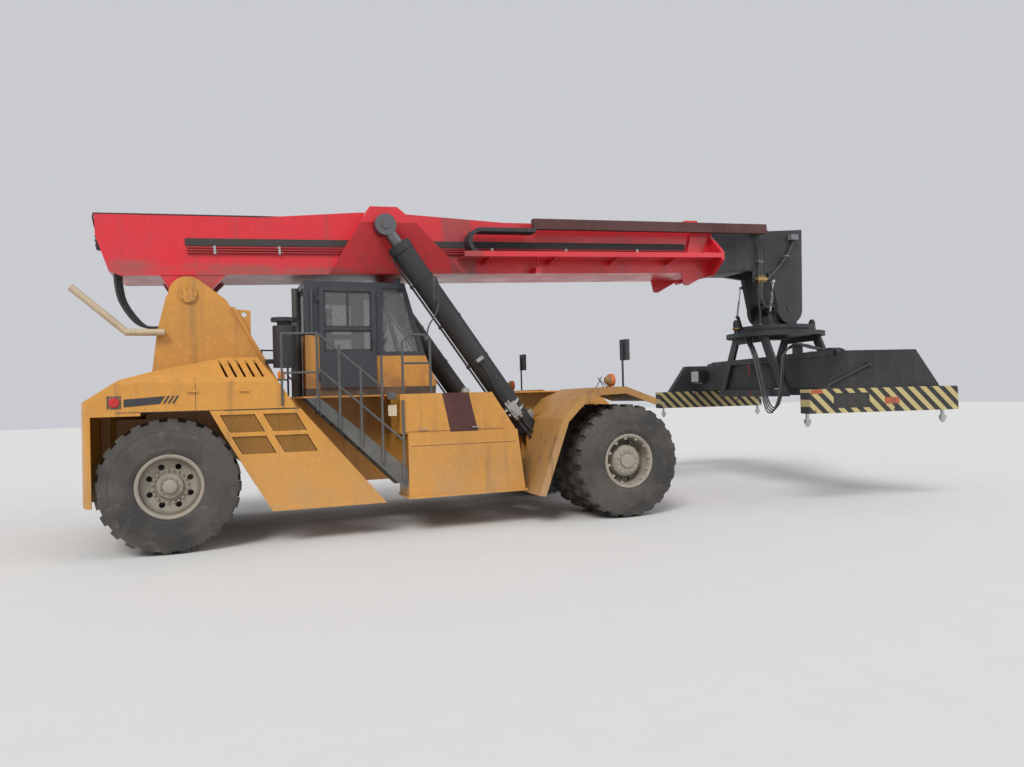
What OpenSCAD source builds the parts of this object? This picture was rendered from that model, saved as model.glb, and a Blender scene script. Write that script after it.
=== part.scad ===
// Reach stacker: a container handler with a telescopic boom over the cab and a
// spreader that turns, shifts sideways and telescopes from 20 to 40 feet.
// Millimetres. X points forward, Y to the left, Z up, and the ground is Z = 0.
// Lengths along X are counted from the rear axle and moved to the middle at the end.

/* [Wheels] */
// Distance between the rear and the front axle
wheelbase = 6000; // [5960:10:6040]
// Outside diameter of a tyre over its lugs
tyre_d = 1616; // [1600:2:1624]
// Width of one tyre
tyre_w = 500; // [480:5:505]
// Diameter of the rim that a tyre sits on
rim_d = 760; // [740:5:780]
// Width over the twin front wheels
twin_width = 4150; // [4130:5:4180]
// Gap between two twin tyres
twin_gap = 200; // [180:5:210]
// Width over the rear wheels
rear_width = 3280; // [3270:2:3300]
// Distance of a kingpin inside its wheel's middle plane
kingpin_in = 200; // [195:1:205]
// Number of lugs round each shoulder of a tyre
lug_count = 24; // [20:1:28]

/* [Chassis] */
// Height of the deck
deck_z = 1840; // [1820:5:1850]
// Half width of the rear body
body_half = 1650; // [1640:2:1660]
// Height of the seam between the hood and the side panels
seam_z = 1700; // [1695:1:1705]
// Height of the hood's flat top
hood_z = 2360; // [2330:5:2390]
// Number of slanted slots in each shoulder of the hood
slot_count = 5; // [3:1:6]
// Number of bars in each grille of the side panels
grille_bars = 20; // [16:1:24]
// Number of treads of each stair
tread_count = 5; // [4:1:5]

/* [Cab] */
// Half width of the cab
cab_half = 700; // [680:5:710]
// Height of the cab's roof
cab_top = 3450; // [3400:5:3460]
// Wall thickness of the cab
cab_wall = 50; // [40:2:60]
// Height of the cab's waist, where its front glass starts
cab_waist = 2400; // [2380:5:2420]

/* [Boom] */
// Forward place of the boom's pivot
pivot_x = 230; // [210:5:250]
// Height of the boom's pivot
pivot_z = 3230; // [3220:2:3240]
// Rise of the parked boom in degrees
boom_rise = 2.2; // [2:0.1:2.4]
// Width of the outer boom
boom_w = 1000; // [980:5:1010]
// Height of the outer boom's box
boom_h = 795; // [780:5:800]
// Plate thickness of both booms
boom_wall = 20; // [14:1:24]
// Length of the inner boom that shows between the outer boom and the head
boom_out = 900; // [880:10:940]

/* [Spreader] */
// Turn of the spreader about the ring, seen from above, in degrees
spreader_turn = -12.1; // [-14:0.1:-10]
// Distance of the end beams' middle planes from the ring, 20 foot position
end_beam_y = 3030; // [3020:2:3040]
// Distance between the twistlocks of one end beam
lock_span = 2259; // [2255:1:2262]
// Length of an end beam beyond each twistlock's middle
end_beam_over = 90.5; // [85:0.5:95]

/* [Hidden] */

$fn = 48;

// Clearances
pin_fit = 0.05;
rest_gap = 0.3;
run_gap = 6;

// The object's middle along X, counted from the rear axle
middle_x = 5530;

axle_z = tyre_d / 2;
rim_r = rim_d / 2;
front_x = wheelbase;

// Chassis beams
beam_in = 300;
beam_out = 540;

// Steering
king_r = 45;
king_z = 170;
spindle_r = 62;
rear_wheel_y = rear_width / 2 - tyre_w / 2;
kingpin_y = rear_wheel_y - kingpin_in;

// Twin wheels
twin_outer_y = twin_width / 2 - tyre_w / 2;
twin_inner_y = twin_outer_y - tyre_w - twin_gap;
hub_r = 110;

// Boom, along and above its own axis from the pivot
boom_low = 273;
boom_rear = -1060;
boom_tip = 8460;
pivot_r = 80;
inner_gap = 30;
inner_w = boom_w - 2 * boom_wall - 2 * inner_gap;
inner_low = boom_low + boom_wall + inner_gap;
inner_h = boom_h - 2 * boom_wall - 2 * inner_gap;
head_x = boom_tip + boom_out;

// Lift cylinders
cyl_y = 1000;
low_eye = [4950, 1160];
top_eye = [2790, 4210];
cyl_pin_r = 60;
barrel_r = 160;
rod_r = 88;
eye_r = 150;
eye_w = 180;
cyl_len = norm(top_eye - low_eye);
cyl_lean = atan2(low_eye.x - top_eye.x, top_eye.y - low_eye.y);
barrel_l = cyl_len - 310;

// Slewing ring and spreader
ring_x = 10440;
tilt_z = 3250;
tilt_r = 70;
cheek_r = 285;
// The hanger's axis in the boom's own frame
tilt_at = [cos(boom_rise) * (ring_x - pivot_x) + sin(boom_rise) * (tilt_z - pivot_z),
           cos(boom_rise) * (tilt_z - pivot_z) - sin(boom_rise) * (ring_x - pivot_x)];
main_low = 1780;
main_h = 480;
main_half = 480;
main_l = 2 * (end_beam_y - 280);
end_beam_l = lock_span + 2 * end_beam_over;
main_wall = 14;
arm_end = 150 - main_l / 2;
teeth = 60;
teeth_r = 720;
lock_y = end_beam_y - 103;
lock_r = 28;
end_low = 1400;
end_h = 356;

// Rear edge of the stair wells
stair_x = 1740;

// Paints
yellow = [0.86, 0.58, 0.13];
red = [0.75, 0.06, 0.08];
black = [0.07, 0.07, 0.08];
dark_grey = [0.2, 0.21, 0.22];
grey = [0.45, 0.46, 0.47];
beige = [0.72, 0.64, 0.52];
brown = [0.35, 0.22, 0.15];
rubber = [0.1, 0.1, 0.1];
rim_paint = [0.62, 0.6, 0.55];
steel = [0.6, 0.6, 0.62];
glass = [0.3, 0.36, 0.38];

// Moves a piece from the rear axle's frame to the object's middle
module placed() {
    translate([-middle_x, 0, 0])
        children();
}

// The right side is the mirror of the left one
module side(s) {
    if (s < 0)
        mirror([0, 1, 0])
            children();
    else
        children();
}

module both() {
    children();
    mirror([0, 1, 0])
        children();
}

// An outline in X and Z, extruded from y0 to y1
module slab(outline, y0, y1) {
    translate([0, y1, 0])
        rotate([90, 0, 0])
            linear_extrude(y1 - y0)
                polygon(outline);
}

// An outline in Y and Z, extruded from x0 to x1
module cross(outline, x0, x1) {
    translate([x0, 0, 0])
        rotate([90, 0, 90])
            linear_extrude(x1 - x0)
                polygon(outline);
}

module block(x0, x1, y0, y1, z0, z1) {
    translate([x0, y0, z0])
        cube([x1 - x0, y1 - y0, z1 - z0]);
}

// A round bar along Y
module shaft(x, z, r, y0, y1) {
    translate([x, y1, z])
        rotate([90, 0, 0])
            cylinder(r = r, h = y1 - y0);
}

// A round bar from point p to point q
module bar(p, q, d) {
    v = q - p;
    translate(p)
        rotate([0, acos(v.z / norm(v)), atan2(v.y, v.x)])
            cylinder(d = d, h = norm(v));
}

// A bent tube through a list of points, with round corners
module tube_run(points, d) {
    for (i = [0:len(points) - 2])
        bar(points[i], points[i + 1], d);
    for (i = [1:len(points) - 2])
        translate(points[i])
            sphere(d = d);
}

// A body of revolution about Y, from an outline of radius and Y
module turned(outline) {
    rotate([-90, 0, 0])
        rotate_extrude()
            polygon(outline);
}

module on_boom() {
    translate([pivot_x, 0, pivot_z])
        rotate([0, -boom_rise, 0])
            children();
}

module at_ring() {
    translate([ring_x, 0, 0])
        rotate([0, 0, spreader_turn])
            children();
}

// Wheels

// One band of shoulder lugs, as a toothed ring
module lug_band(w) {
    pitch = 360 / lug_count;
    tooth = pitch * 0.55;
    base_r = tyre_d / 2 - 38;
    top_r = tyre_d / 2 + 10;
    ring = [
        for (i = [0:lug_count - 1])
            for (p = [[0, base_r], [0, top_r], [tooth, top_r], [tooth, base_r]])
                p[1] * [cos(i * pitch + p[0]), sin(i * pitch + p[0])]
    ];
    linear_extrude(w)
        polygon(ring);
}

module tyre() {
    r = tyre_d / 2;
    w = tyre_w / 2;
    bead = rim_r + rest_gap;
    carcass = [
        [bead, -w + 40], [bead + 60, -w + 8], [r - 200, -w], [r - 90, -w + 22], [r - 36, -w + 70],
        [r - 30, 0],
        [r - 36, w - 70], [r - 90, w - 22], [r - 200, w], [bead + 60, w - 8], [bead, w - 40]
    ];
    shoulder = [[r - 140, -w + 8], [r - 36, -w + 30], [r, -w + 60], [r, -70], [r - 140, -70]];
    turned(carcass);
    intersection() {
        turned(shoulder);
        translate([0, -70, 0])
            rotate([90, 0, 0])
                lug_band(w - 70);
    }
    intersection() {
        turned([for (p = shoulder) [p[0], -p[1]]]);
        translate([0, w, 0])
            rotate([90, 180 / lug_count, 0])
                lug_band(w - 70);
    }
}

module rear_rim() {
    w = tyre_w / 2;
    turned([[rim_r - 40, -w + 40], [rim_r, -w + 40], [rim_r, w - 40], [rim_r - 40, w - 40]]);
    difference() {
        turned([
            [spindle_r + pin_fit, 20], [110, 20], [130, 60], [rim_r - 40, 60],
            [rim_r - 40, 90], [160, 90], [140, 150], [spindle_r + pin_fit, 150]
        ]);
        for (a = [0:45:359])
            rotate([0, a + 22.5, 0])
                shaft(0, 245, 35, 0, 200);
    }
}

module front_rim() {
    outer = twin_outer_y + tyre_w / 2 - 40;
    inner = twin_inner_y - tyre_w / 2 + 40;
    disc = twin_outer_y - 60;
    turned([[rim_r - 40, inner], [rim_r, inner], [rim_r, outer], [rim_r - 40, outer]]);
    difference() {
        turned([
            [hub_r + pin_fit, disc - 120], [210, disc - 120], [230, disc], [rim_r - 40, disc],
            [rim_r - 40, disc + 40], [250, disc + 40], [220, disc + 190], [180, disc + 220],
            [hub_r + pin_fit, disc + 220]
        ]);
        for (a = [0:45:359])
            rotate([0, a + 22.5, 0])
                shaft(0, 290, 26, disc - 10, disc + 60);
    }
}

module rear_tyre(s) {
    color(rubber)
        placed()
            side(s)
                translate([0, rear_wheel_y, axle_z])
                    tyre();
}

module front_tyres(s) {
    color(rubber)
        placed()
            side(s)
                for (y = [twin_inner_y, twin_outer_y])
                    translate([front_x, y, axle_z])
                        tyre();
}

module rear_tyre_right() rear_tyre(-1);
module rear_tyre_left() rear_tyre(1);
module front_tyres_right() front_tyres(-1);
module front_tyres_left() front_tyres(1);

module rear_rim_at(s) {
    color(rim_paint)
        placed()
            side(s)
                translate([0, rear_wheel_y, axle_z])
                    rear_rim();
}

module front_rim_at(s) {
    color(rim_paint)
        placed()
            side(s)
                translate([front_x, 0, axle_z])
                    front_rim();
}

module rear_rim_right() rear_rim_at(-1);
module rear_rim_left() rear_rim_at(1);
module front_rim_right() front_rim_at(-1);
module front_rim_left() front_rim_at(1);

// Axles

module knuckle(s) {
    color(dark_grey)
        placed()
            side(s)
                translate([0, 0, axle_z]) {
                    difference() {
                        union() {
                            translate([0, kingpin_y, -king_z + 45])
                                cylinder(r = 85, h = 2 * king_z - 90);
                            shaft(0, 0, 85, kingpin_y + 40, kingpin_y + 110);
                            block(-300, 0, kingpin_y - 25, kingpin_y + 25, -30, 30);
                        }
                        translate([0, kingpin_y, -king_z])
                            cylinder(r = king_r + pin_fit, h = 2 * king_z);
                    }
                    shaft(0, 0, spindle_r, kingpin_y + 105, rear_wheel_y + 150);
                }
}

module knuckle_right() knuckle(-1);
module knuckle_left() knuckle(1);

module steer_axle() {
    end = kingpin_y - 190;
    color(dark_grey)
        placed() {
            cross([
                [-end, axle_z - 110], [200 - end, axle_z - 150], [end - 200, axle_z - 150], [end, axle_z - 110],
                [end, axle_z + 110], [end - 200, axle_z + 150], [200 - end, axle_z + 150], [-end, axle_z + 110]
            ], -120, 120);
            block(-200, 200, -beam_out, beam_out, axle_z + 150, axle_z + 292);
            both()
                for (z = [-king_z, king_z - 40]) {
                    block(-80, 80, end - 10, kingpin_y, axle_z + z, axle_z + z + 40);
                    translate([0, kingpin_y, axle_z + z])
                        cylinder(r = 80, h = 40);
                }
            both()
                block(-100, 100, end - 60, end, axle_z - king_z, axle_z + king_z);
            both()
                translate([0, kingpin_y, axle_z - king_z])
                    cylinder(r = king_r, h = 2 * king_z);
        }
}

module drive_axle() {
    half_axle = [
        [0, -twin_outer_y - 100], [hub_r, -twin_outer_y - 100], [hub_r, -twin_inner_y - 100],
        [170, -twin_inner_y - 100], [170, -400], [300, -160]
    ];
    color(dark_grey)
        placed()
            translate([front_x, 0, axle_z]) {
                turned(concat(half_axle, [for (i = [5:-1:0]) [half_axle[i][0], -half_axle[i][1]]]));
                translate([-520, 0, 0])
                    rotate([0, 90, 0])
                        cylinder(r = 110, h = 300);
                both()
                    block(-220, 220, beam_in, beam_out, 100, 242);
            }
}

// Chassis

module chassis_frame() {
    side_view = [
        [-800, axle_z + 292], [-800, 1600], [900, 1600], [1300, deck_z - 20], [6300, deck_z - 20],
        [6550, 1600], [6550, 1150], [6300, 1050], [5400, 1050], [4900, 620], [1300, 620],
        [700, axle_z + 292]
    ];
    // Cross plates: X from, X to, Z from, Z to
    plates = [[860, 900, 1110, 1590], [1300, 1340, 640, 1690], [2800, 2840, 640, 1780],
              [4600, 4640, 640, 1780], [6500, 6540, 1160, 1580]];
    // Outriggers that carry the side boxes: X from, X to, Z from, Z to, reach
    outriggers = [[1280, 1320, 700, 1600 - rest_gap, body_half - 80], [2860, 2900, 640, 1290, 1250],
                  [4380, 4420, 640, 1290, 1250]];
    color(yellow)
        placed() {
            both()
                slab(side_view, beam_in, beam_out);
            for (p = plates)
                block(p[0], p[1], -beam_in, beam_in, p[2], p[3]);
            both() {
                for (o = outriggers)
                    block(o[0], o[1], beam_out, o[4], o[2], o[3]);
                lift_bearing();
            }
        }
}

// The two lugs and the pin that hold one lift cylinder's lower eye
module lift_bearing() {
    lug_t = 30;
    inside = cyl_y - eye_w / 2 - rest_gap - lug_t;
    outside = cyl_y + eye_w / 2 + rest_gap;
    block(low_eye.x - 170, low_eye.x + 150, beam_out, outside + lug_t, 800, 860);
    for (y = [inside, outside]) {
        block(low_eye.x - 130, low_eye.x + 130, y, y + lug_t, 855, low_eye.y);
        shaft(low_eye.x, low_eye.y, 130, y, y + lug_t);
    }
    shaft(low_eye.x, low_eye.y, cyl_pin_r, inside - 40, outside + lug_t + 40);
}

module tower() {
    front_edge = function(z) 760 + (3070 - z) / 1.85;
    plate = [
        [-300, 1600], [front_edge(1600), 1600], [front_edge(3070), 3070], [700, 3170],
        [pivot_x + 130, pivot_z + 205], [pivot_x - 130, pivot_z + 205], [-40, pivot_z - 40], [-150, 2750]
    ];
    flange = [
        [front_edge(1600), 1600], [front_edge(1600) + 45, 1600], [front_edge(3070) + 45, 3070],
        [front_edge(3070), 3070]
    ];
    color(yellow)
        placed() {
            both() {
                difference() {
                    union() {
                        slab(plate, beam_out, beam_out + 60);
                        shaft(pivot_x, pivot_z, 240, beam_out, beam_out + 60);
                        slab(flange, beam_out, beam_out + 100);
                        slab([[front_edge(3050), 3050], [1010, 3030], [1010, 2930], [front_edge(2650) + 20, 2650]],
                             beam_out + 10, beam_out + 50);
                    }
                    shaft(925, 2975, 35, beam_out, beam_out + 60);
                }
                block(-300, 880, beam_in, beam_out, 1600, 1640);
            }
            shaft(pivot_x, pivot_z, pivot_r, -beam_out - 80, beam_out + 80);
            block(340, 380, -beam_out, beam_out, 2420, 2950);
        }
}

// Tail outline seen from above, as half of a rounded plan
function tail_plan(grow) = [
    for (a = [-90:15:90])
        [-860 - grow - 145 * cos(a), (body_half + grow) * sin(a)]
];

module counterweight() {
    profile = [
        [-1010, 640], [-860, 610], [-560, 610], [-560, axle_z + 292], [-300, axle_z + 292],
        [-300, seam_z - rest_gap], [-1010, seam_z - rest_gap]
    ];
    swing = norm([tyre_d / 2, rear_wheel_y + tyre_w / 2 - 50 - kingpin_y]) + 15;
    color(yellow)
        placed()
            difference() {
                intersection() {
                    slab(profile, -body_half, body_half);
                    linear_extrude(2000)
                        polygon(concat(tail_plan(0), [[0, body_half], [0, -body_half]]));
                }
                both() {
                    block(-820, 10, kingpin_y - 570, body_half + 10, 0, seam_z - 42);
                    translate([0, kingpin_y, 0])
                        cylinder(r = swing, h = seam_z - 42);
                    block(-810, 10, beam_in - 5, beam_out + 5, axle_z + 280, 1605);
                }
                // Towing jaw: the jaw, the pin's hole and the pocket over it
                block(-1100, -880, -160, 160, 920, 1060);
                block(-1100, -880, -160, 160, 1120, 1560);
                translate([-940, 0, 500])
                    cylinder(r = 30, h = 650);
            }
}

// Outline of the hood from the side and from behind, drawn in by t for its inside
function hood_side(t) = [
    [-1010 + t, seam_z + t], [-985 + t, 1790], [-830 + t, 1875 - t], [-520, 2085 - t], [-160, 2190 - t],
    [640, hood_z - t], [1040 - t, hood_z - t], [1480 - t, seam_z + t]
];
function hood_back(t) = [
    [-body_half + t, seam_z + t], [body_half - t, seam_z + t], [body_half - t, 2040 - t / 2],
    [1200 - t / 2, hood_z - t], [-1200 + t / 2, hood_z - t], [-body_half + t, 2040 - t / 2]
];

module hood_form(t) {
    intersection() {
        slab(hood_side(t), -body_half, body_half);
        cross(hood_back(t), -1100, 1600);
        linear_extrude(3000)
            polygon(concat(tail_plan(-t), [[1600, body_half - t], [1600, -body_half + t]]));
    }
}

module hood() {
    color(yellow)
        placed() {
            hood_shell();
            both()
                shaft(-570, 1820, 58, body_half - 20, body_half + 8);
            bar([1350, -1060, 1885], [1350, -1060, 2085], 24);
            translate([1350, -1060, 2080])
                cylinder(r = 42, h = 95);
        }
}

// The hood's plates with the slots, the lamp recesses and the way for the tower's plates
module hood_shell() {
    difference() {
        hood_form(0);
        hood_form(30);
        both() {
            slab([[-305, 1600], [1640, 1600], [1170, 2450], [-205, 2450]], beam_out - 1, beam_out + 101);
            block(-305, 885, beam_in - 1, beam_out + 1, 1600, seam_z + 40);
            block(1050, 1600, beam_in - 1, beam_out + 1, 1600, deck_z - 15);
            for (i = [0:slot_count - 1])
                slab([for (p = [[560, 2320], [590, 2320], [680, 2100], [650, 2100]]) p + [i * 105, 0]],
                     1250, body_half);
            block(-645, -495, body_half - 15, body_half + 1, 1745, 1895);
        }
    }
}

module engine_block() {
    color(grey)
        placed()
            block(-350, 850, -420, 420, seam_z + 31, 2080);
}

// A side panel: a slanted plate with four grilles of upright bars
module side_panel() {
    outline = [
        [450, seam_z], [620, 1380], [1160, 430], [2590, 430], [1514, seam_z]
    ];
    // Grilles: lower rear corner in X and Z
    grilles = [[690, 1420], [1190, 1420], [820, 1150], [1320, 1150]];
    lean = -0.55;
    w = 400;
    h = 220;
    difference() {
        slab(outline, body_half - 60, body_half);
        for (g = grilles)
            slab([
                [g[0] + 0, g[1]], [g[0] + w, g[1]], [g[0] + w + lean * h, g[1] + h], [g[0] + lean * h, g[1] + h]
            ], body_half - 61, body_half + 1);
    }
    step = w / (grille_bars + 1);
    for (g = grilles)
        for (i = [1:grille_bars])
            slab([
                [g[0] + i * step - 4, g[1] - 1], [g[0] + i * step + 4, g[1] - 1],
                [g[0] + i * step + 4 + lean * h, g[1] + h + 1], [g[0] + i * step - 4 + lean * h, g[1] + h + 1]
            ], body_half - 50, body_half - 20);
}

module side_panel_right() color(yellow) placed() side(-1) side_panel();
module side_panel_left() color(yellow) placed() side(1) side_panel();

module deck() {
    color(yellow)
        placed() {
            block(1560, 5900, -800, 800, deck_z - 20, deck_z);
            both() {
                block(1560, stair_x, 800, body_half, deck_z - 20, deck_z);
                block(stair_x, 3900, 800, 1200, deck_z - 20, deck_z);
            }
        }
}

module tank() {
    slab([[2770, 1320], [2770, deck_z], [4050, deck_z], [4390, 1320]], 1200, 1750);
    slab([[2860, 500], [2860, 1320], [4400, 1320], [4500, 500]], 1250, 1780);
    block(2840, 4520, 1250, 1800, 470, 500);
}

module tank_right() color(yellow) placed() side(-1) tank();
module tank_left() color(yellow) placed() side(1) tank();

module fender() {
    out = [[4570, 420], [4950, 1440], [5220, 1720], [5560, 1855], [5950, 1870], [6450, 1690]];
    in = [[6440, 1650], [5950, 1830], [5560, 1815], [5250, 1685], [4990, 1425], [4610, 412]];
    difference() {
        slab(concat(out, in), 800, twin_width / 2 + 20);
        block(4700, 5110, 700, 1180, 700, 1500);
    }
    lip = [[6440, 1600], [5950, 1770], [5560, 1755], [5290, 1640], [5040, 1400], [4670, 405]];
    slab(concat(out, lip), twin_width / 2 - 10, twin_width / 2 + 20);
    head_lamp();
}

// A round lamp on a foot, looking forward
module head_lamp() {
    translate([5790, 1900, 1965])
        rotate([0, 90, 0])
            rotate_extrude()
                polygon([[0, -72], [44, -62], [80, -8], [86, 44], [80, 56], [70, 46], [0, 46]]);
    block(5765, 5815, 1885, 1915, 1860, 1892);
}

module fender_right() color(yellow) placed() side(-1) fender();
module fender_left() color(yellow) placed() side(1) fender();

// Stair with its handrail. The stair's line runs down and forward from the deck.
module stairs() {
    foot_x = 2850;
    line = function(x) deck_z - (x - stair_x) * 0.87;
    stringer = [
        [stair_x - 170, deck_z - 20 - rest_gap], [stair_x, deck_z - 20 - rest_gap], [foot_x, line(foot_x)],
        [foot_x, line(foot_x) - 250], [foot_x - 60, line(foot_x) - 250]
    ];
    outer = body_half + 85;
    for (y = [1210, outer])
        slab(stringer, y, y + 20);
    step = (foot_x - stair_x) / (tread_count + 1);
    for (i = [1:tread_count])
        block(stair_x + i * step - 170, stair_x + i * step + 10, 1225, outer + 5,
              line(stair_x + i * step) - 80, line(stair_x + i * step) - 45);
    rail_y = outer + 33;
    // Posts: X, height of the foot and of the top
    posts = [[1720, 1660, 2650], [1990, 1430, 2480], [2260, 1190, 2200], [2530, 950, 2350], [2800, 700, 1760]];
    for (p = posts)
        bar([p[0], rail_y, p[1]], [p[0], rail_y, p[2]], 34);
    bar([1712, rail_y, 2640], [2536, rail_y, 1935], 30);
    bar([1712, rail_y, 2205], [2806, rail_y, 1230], 30);
    for (z = [2140, 2630])
        bar([1728, rail_y, z], [1290, body_half + 20, z], 26);
    bar([1300, body_half + 20, 2645], [1300, body_half + 20, seam_z + 30], 28);
}

// The hoop stands on the deck beside the cab's front
module hoop() {
    tube_run([[2850, 1600, deck_z], [2850, 1600, 2540], [2930, 1600, 2630], [3150, 1600, 2630],
              [3230, 1600, 2540], [3230, 1600, deck_z]], 34);
    bar([2850, 1600, 2250], [3230, 1600, 2250], 30);
}

module stairs_right() {
    color(dark_grey)
        placed()
            side(-1) {
                stairs();
                hoop();
            }
}

module stairs_left() {
    color(dark_grey)
        placed()
            side(1) {
                stairs();
                hoop();
            }
}

module air_cleaner() {
    color(black)
        placed()
            translate([1420, -830, 2240]) {
                cylinder(r = 150, h = 560);
                translate([0, 0, 560])
                    cylinder(r = 90, h = 60);
                translate([0, 0, 620])
                    cylinder(r = 170, h = 50);
                block(-240, 0, 100, 830 - beam_out - 100 - rest_gap, 60, 120);
            }
}

module exhaust() {
    color(dark_grey)
        placed()
            translate([1630, -330, deck_z]) {
                cylinder(r = 75, h = 1100);
                translate([0, 0, 1100])
                    cylinder(r = 50, h = 440);
            }
}

module hose_guard() {
    color(beige)
        placed() {
            tube_run([[-1120, -680, 3280], [-500, -680, 2720], [-60, -680, 2720]], 90);
            bar([-90, -680, 2720], [-90, -beam_out - 60, 2720], 80);
        }
}

module mirror_arm() {
    bar([6020, 1900, 1850.5], [6020, 1900, 2500], 30);
    translate([6060, 1900, 2400])
        cube([60, 180, 300], center = true);
}

module mirror_right() color(black) placed() side(-1) mirror_arm();
module mirror_left() color(black) placed() side(1) mirror_arm();

// Cab

cab_rear = 1710;
cab_side = [
    [cab_rear, deck_z], [3560, deck_z], [3580, 2010], [3420, cab_waist], [3130, cab_top], [cab_rear, cab_top]
];
// Door opening: X from, X to, Z from, Z to
door_hole = [1900, 2690, 1960, 3370];

// Inside line of the front screen at height z
function screen_x(z) = 3370 - 275 * (z - cab_waist) / (cab_top - cab_wall - cab_waist);

module cab_body() {
    difference() {
        slab(cab_side, -cab_half, cab_half);
        slab([
            [cab_rear + cab_wall, deck_z + cab_wall], [3500, deck_z + cab_wall], [3525, 2010],
            [3370, cab_waist], [3095, cab_top - cab_wall], [cab_rear + cab_wall, cab_top - cab_wall]
        ], -cab_half + cab_wall, cab_half - cab_wall);
        block(door_hole[0] + 40, door_hole[1] - 40, -cab_half - 10, cab_half + 10,
              door_hole[2] + 40, door_hole[3] - 40);
    }
}

// The yellow body below the waist, higher behind the door
waist_line = [
    [cab_rear - 10, deck_z - 10], [3700, deck_z - 10], [3700, cab_waist], [2460, cab_waist],
    [2200, 2480], [1960, 2690], [cab_rear - 10, 2690]
];

module cab_lower() {
    color(yellow)
        placed()
            intersection() {
                cab_body();
                slab(waist_line, -cab_half - 10, cab_half + 10);
            }
}

module cab_frame() {
    sill = cab_waist + 60;
    head = cab_top - cab_wall - 30;
    side_window = [[2800, sill], [screen_x(sill) - 20, sill], [screen_x(head) - 12, head], [2800, head]];
    color(black)
        placed() {
            difference() {
                cab_body();
                slab(waist_line, -cab_half - 10, cab_half + 10);
                slab(side_window, -cab_half - 10, cab_half + 10);
                block(cab_rear - 10, cab_rear + 60, -560, 560, 2740, head);
                block(3000, 3600, -620, 620, sill - 10, head - 20);
            }
            both() {
                for (z = [2120, 3200])
                    door_pin(z);
                // Work lamp on the roof's corner
                slab([
                    [2990, cab_top - 1], [3070, cab_top - 1], [3085, cab_top + 70], [3010, cab_top + 70]
                ], 560, 680);
            }
        }
}

// A hinge pin with its bracket on the cab's side
module door_pin(z) {
    translate([door_hole[0] - 25, cab_half + 32, z - 50])
        cylinder(r = 10, h = 100);
    block(door_hole[0] - 35, door_hole[0] - 15, cab_half, cab_half + 32, z - 50, z - 32);
    block(door_hole[0] - 35, door_hole[0] - 15, cab_half, cab_half + 32, z + 32, z + 50);
}

module cab_glass() {
    t = 8;
    low = cab_waist + 40;
    high = cab_top - cab_wall - 10;
    color(glass)
        placed() {
            both()
                slab([[2780, low], [screen_x(low) - 20, low], [screen_x(high) - 14, high], [2780, high]],
                     cab_half - cab_wall - t, cab_half - cab_wall);
            slab([
                [screen_x(low) - t - 1, low], [screen_x(low) - 1, low], [screen_x(high) - 1, high],
                [screen_x(high) - t - 1, high]
            ], 60 - cab_half, cab_half - 60);
            block(cab_rear + cab_wall, cab_rear + cab_wall + t, -600, 600, 2700, high);
        }
}

module seat() {
    color(black)
        placed() {
            block(2180, 2480, -180, 180, deck_z + cab_wall, 2200);
            block(2120, 2620, -250, 250, 2200, 2330);
            slab([[2120, 2330], [2240, 2330], [2140, 2950], [2040, 2950]], -240, 240);
            slab([[2060, 2960], [2140, 2950], [2120, 3130], [2050, 3130]], -140, 140);
        }
}

module console() {
    color(dark_grey)
        placed() {
            slab([[3000, deck_z + cab_wall], [3200, deck_z + cab_wall], [3330, 2380], [3120, 2440]], -350, 350);
            bar([3100, 0, 2380], [2880, 0, 2560], 60);
            translate([2880, 0, 2560])
                rotate([0, -50, 0])
                    rotate_extrude()
                        translate([190, 0])
                            circle(r = 15, $fn = 16);
            translate([2880, 0, 2560])
                rotate([0, -50, 0])
                    cube([380, 40, 16], center = true);
        }
}

// A door with its frame, and two panes in it
pane_holes = [[1965, 2625, 2470, 2760], [1965, 2625, 2800, 3310]];

module door() {
    difference() {
        block(door_hole[0], door_hole[1], cab_half + 8, cab_half + 50, door_hole[2], door_hole[3]);
        for (p = pane_holes)
            block(p[0], p[1], cab_half, cab_half + 60, p[2], p[3]);
    }
    for (z = [2120, 3200])
        difference() {
            union() {
                translate([door_hole[0] - 25, cab_half + 32, z - 30])
                    cylinder(r = 18, h = 60);
                block(door_hole[0] - 20, door_hole[0] + 5, cab_half + 20, cab_half + 44, z - 30, z + 30);
            }
            translate([door_hole[0] - 25, cab_half + 32, z - 40])
                cylinder(r = 10 + pin_fit, h = 80);
        }
    bar([2650, cab_half + 40, 2560], [2650, cab_half + 95, 2560], 20);
    bar([2650, cab_half + 95, 2480], [2650, cab_half + 95, 2640], 24);
}

module door_panes() {
    for (p = pane_holes)
        block(p[0] + rest_gap, p[1] - rest_gap, cab_half + 22, cab_half + 30, p[2] + rest_gap, p[3] - rest_gap);
}

module door_right() color(black) placed() side(-1) door();
module door_left() color(black) placed() side(1) door();
module door_glass_right() color(glass) placed() side(-1) door_panes();
module door_glass_left() color(glass) placed() side(1) door_panes();

// Boom

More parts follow.
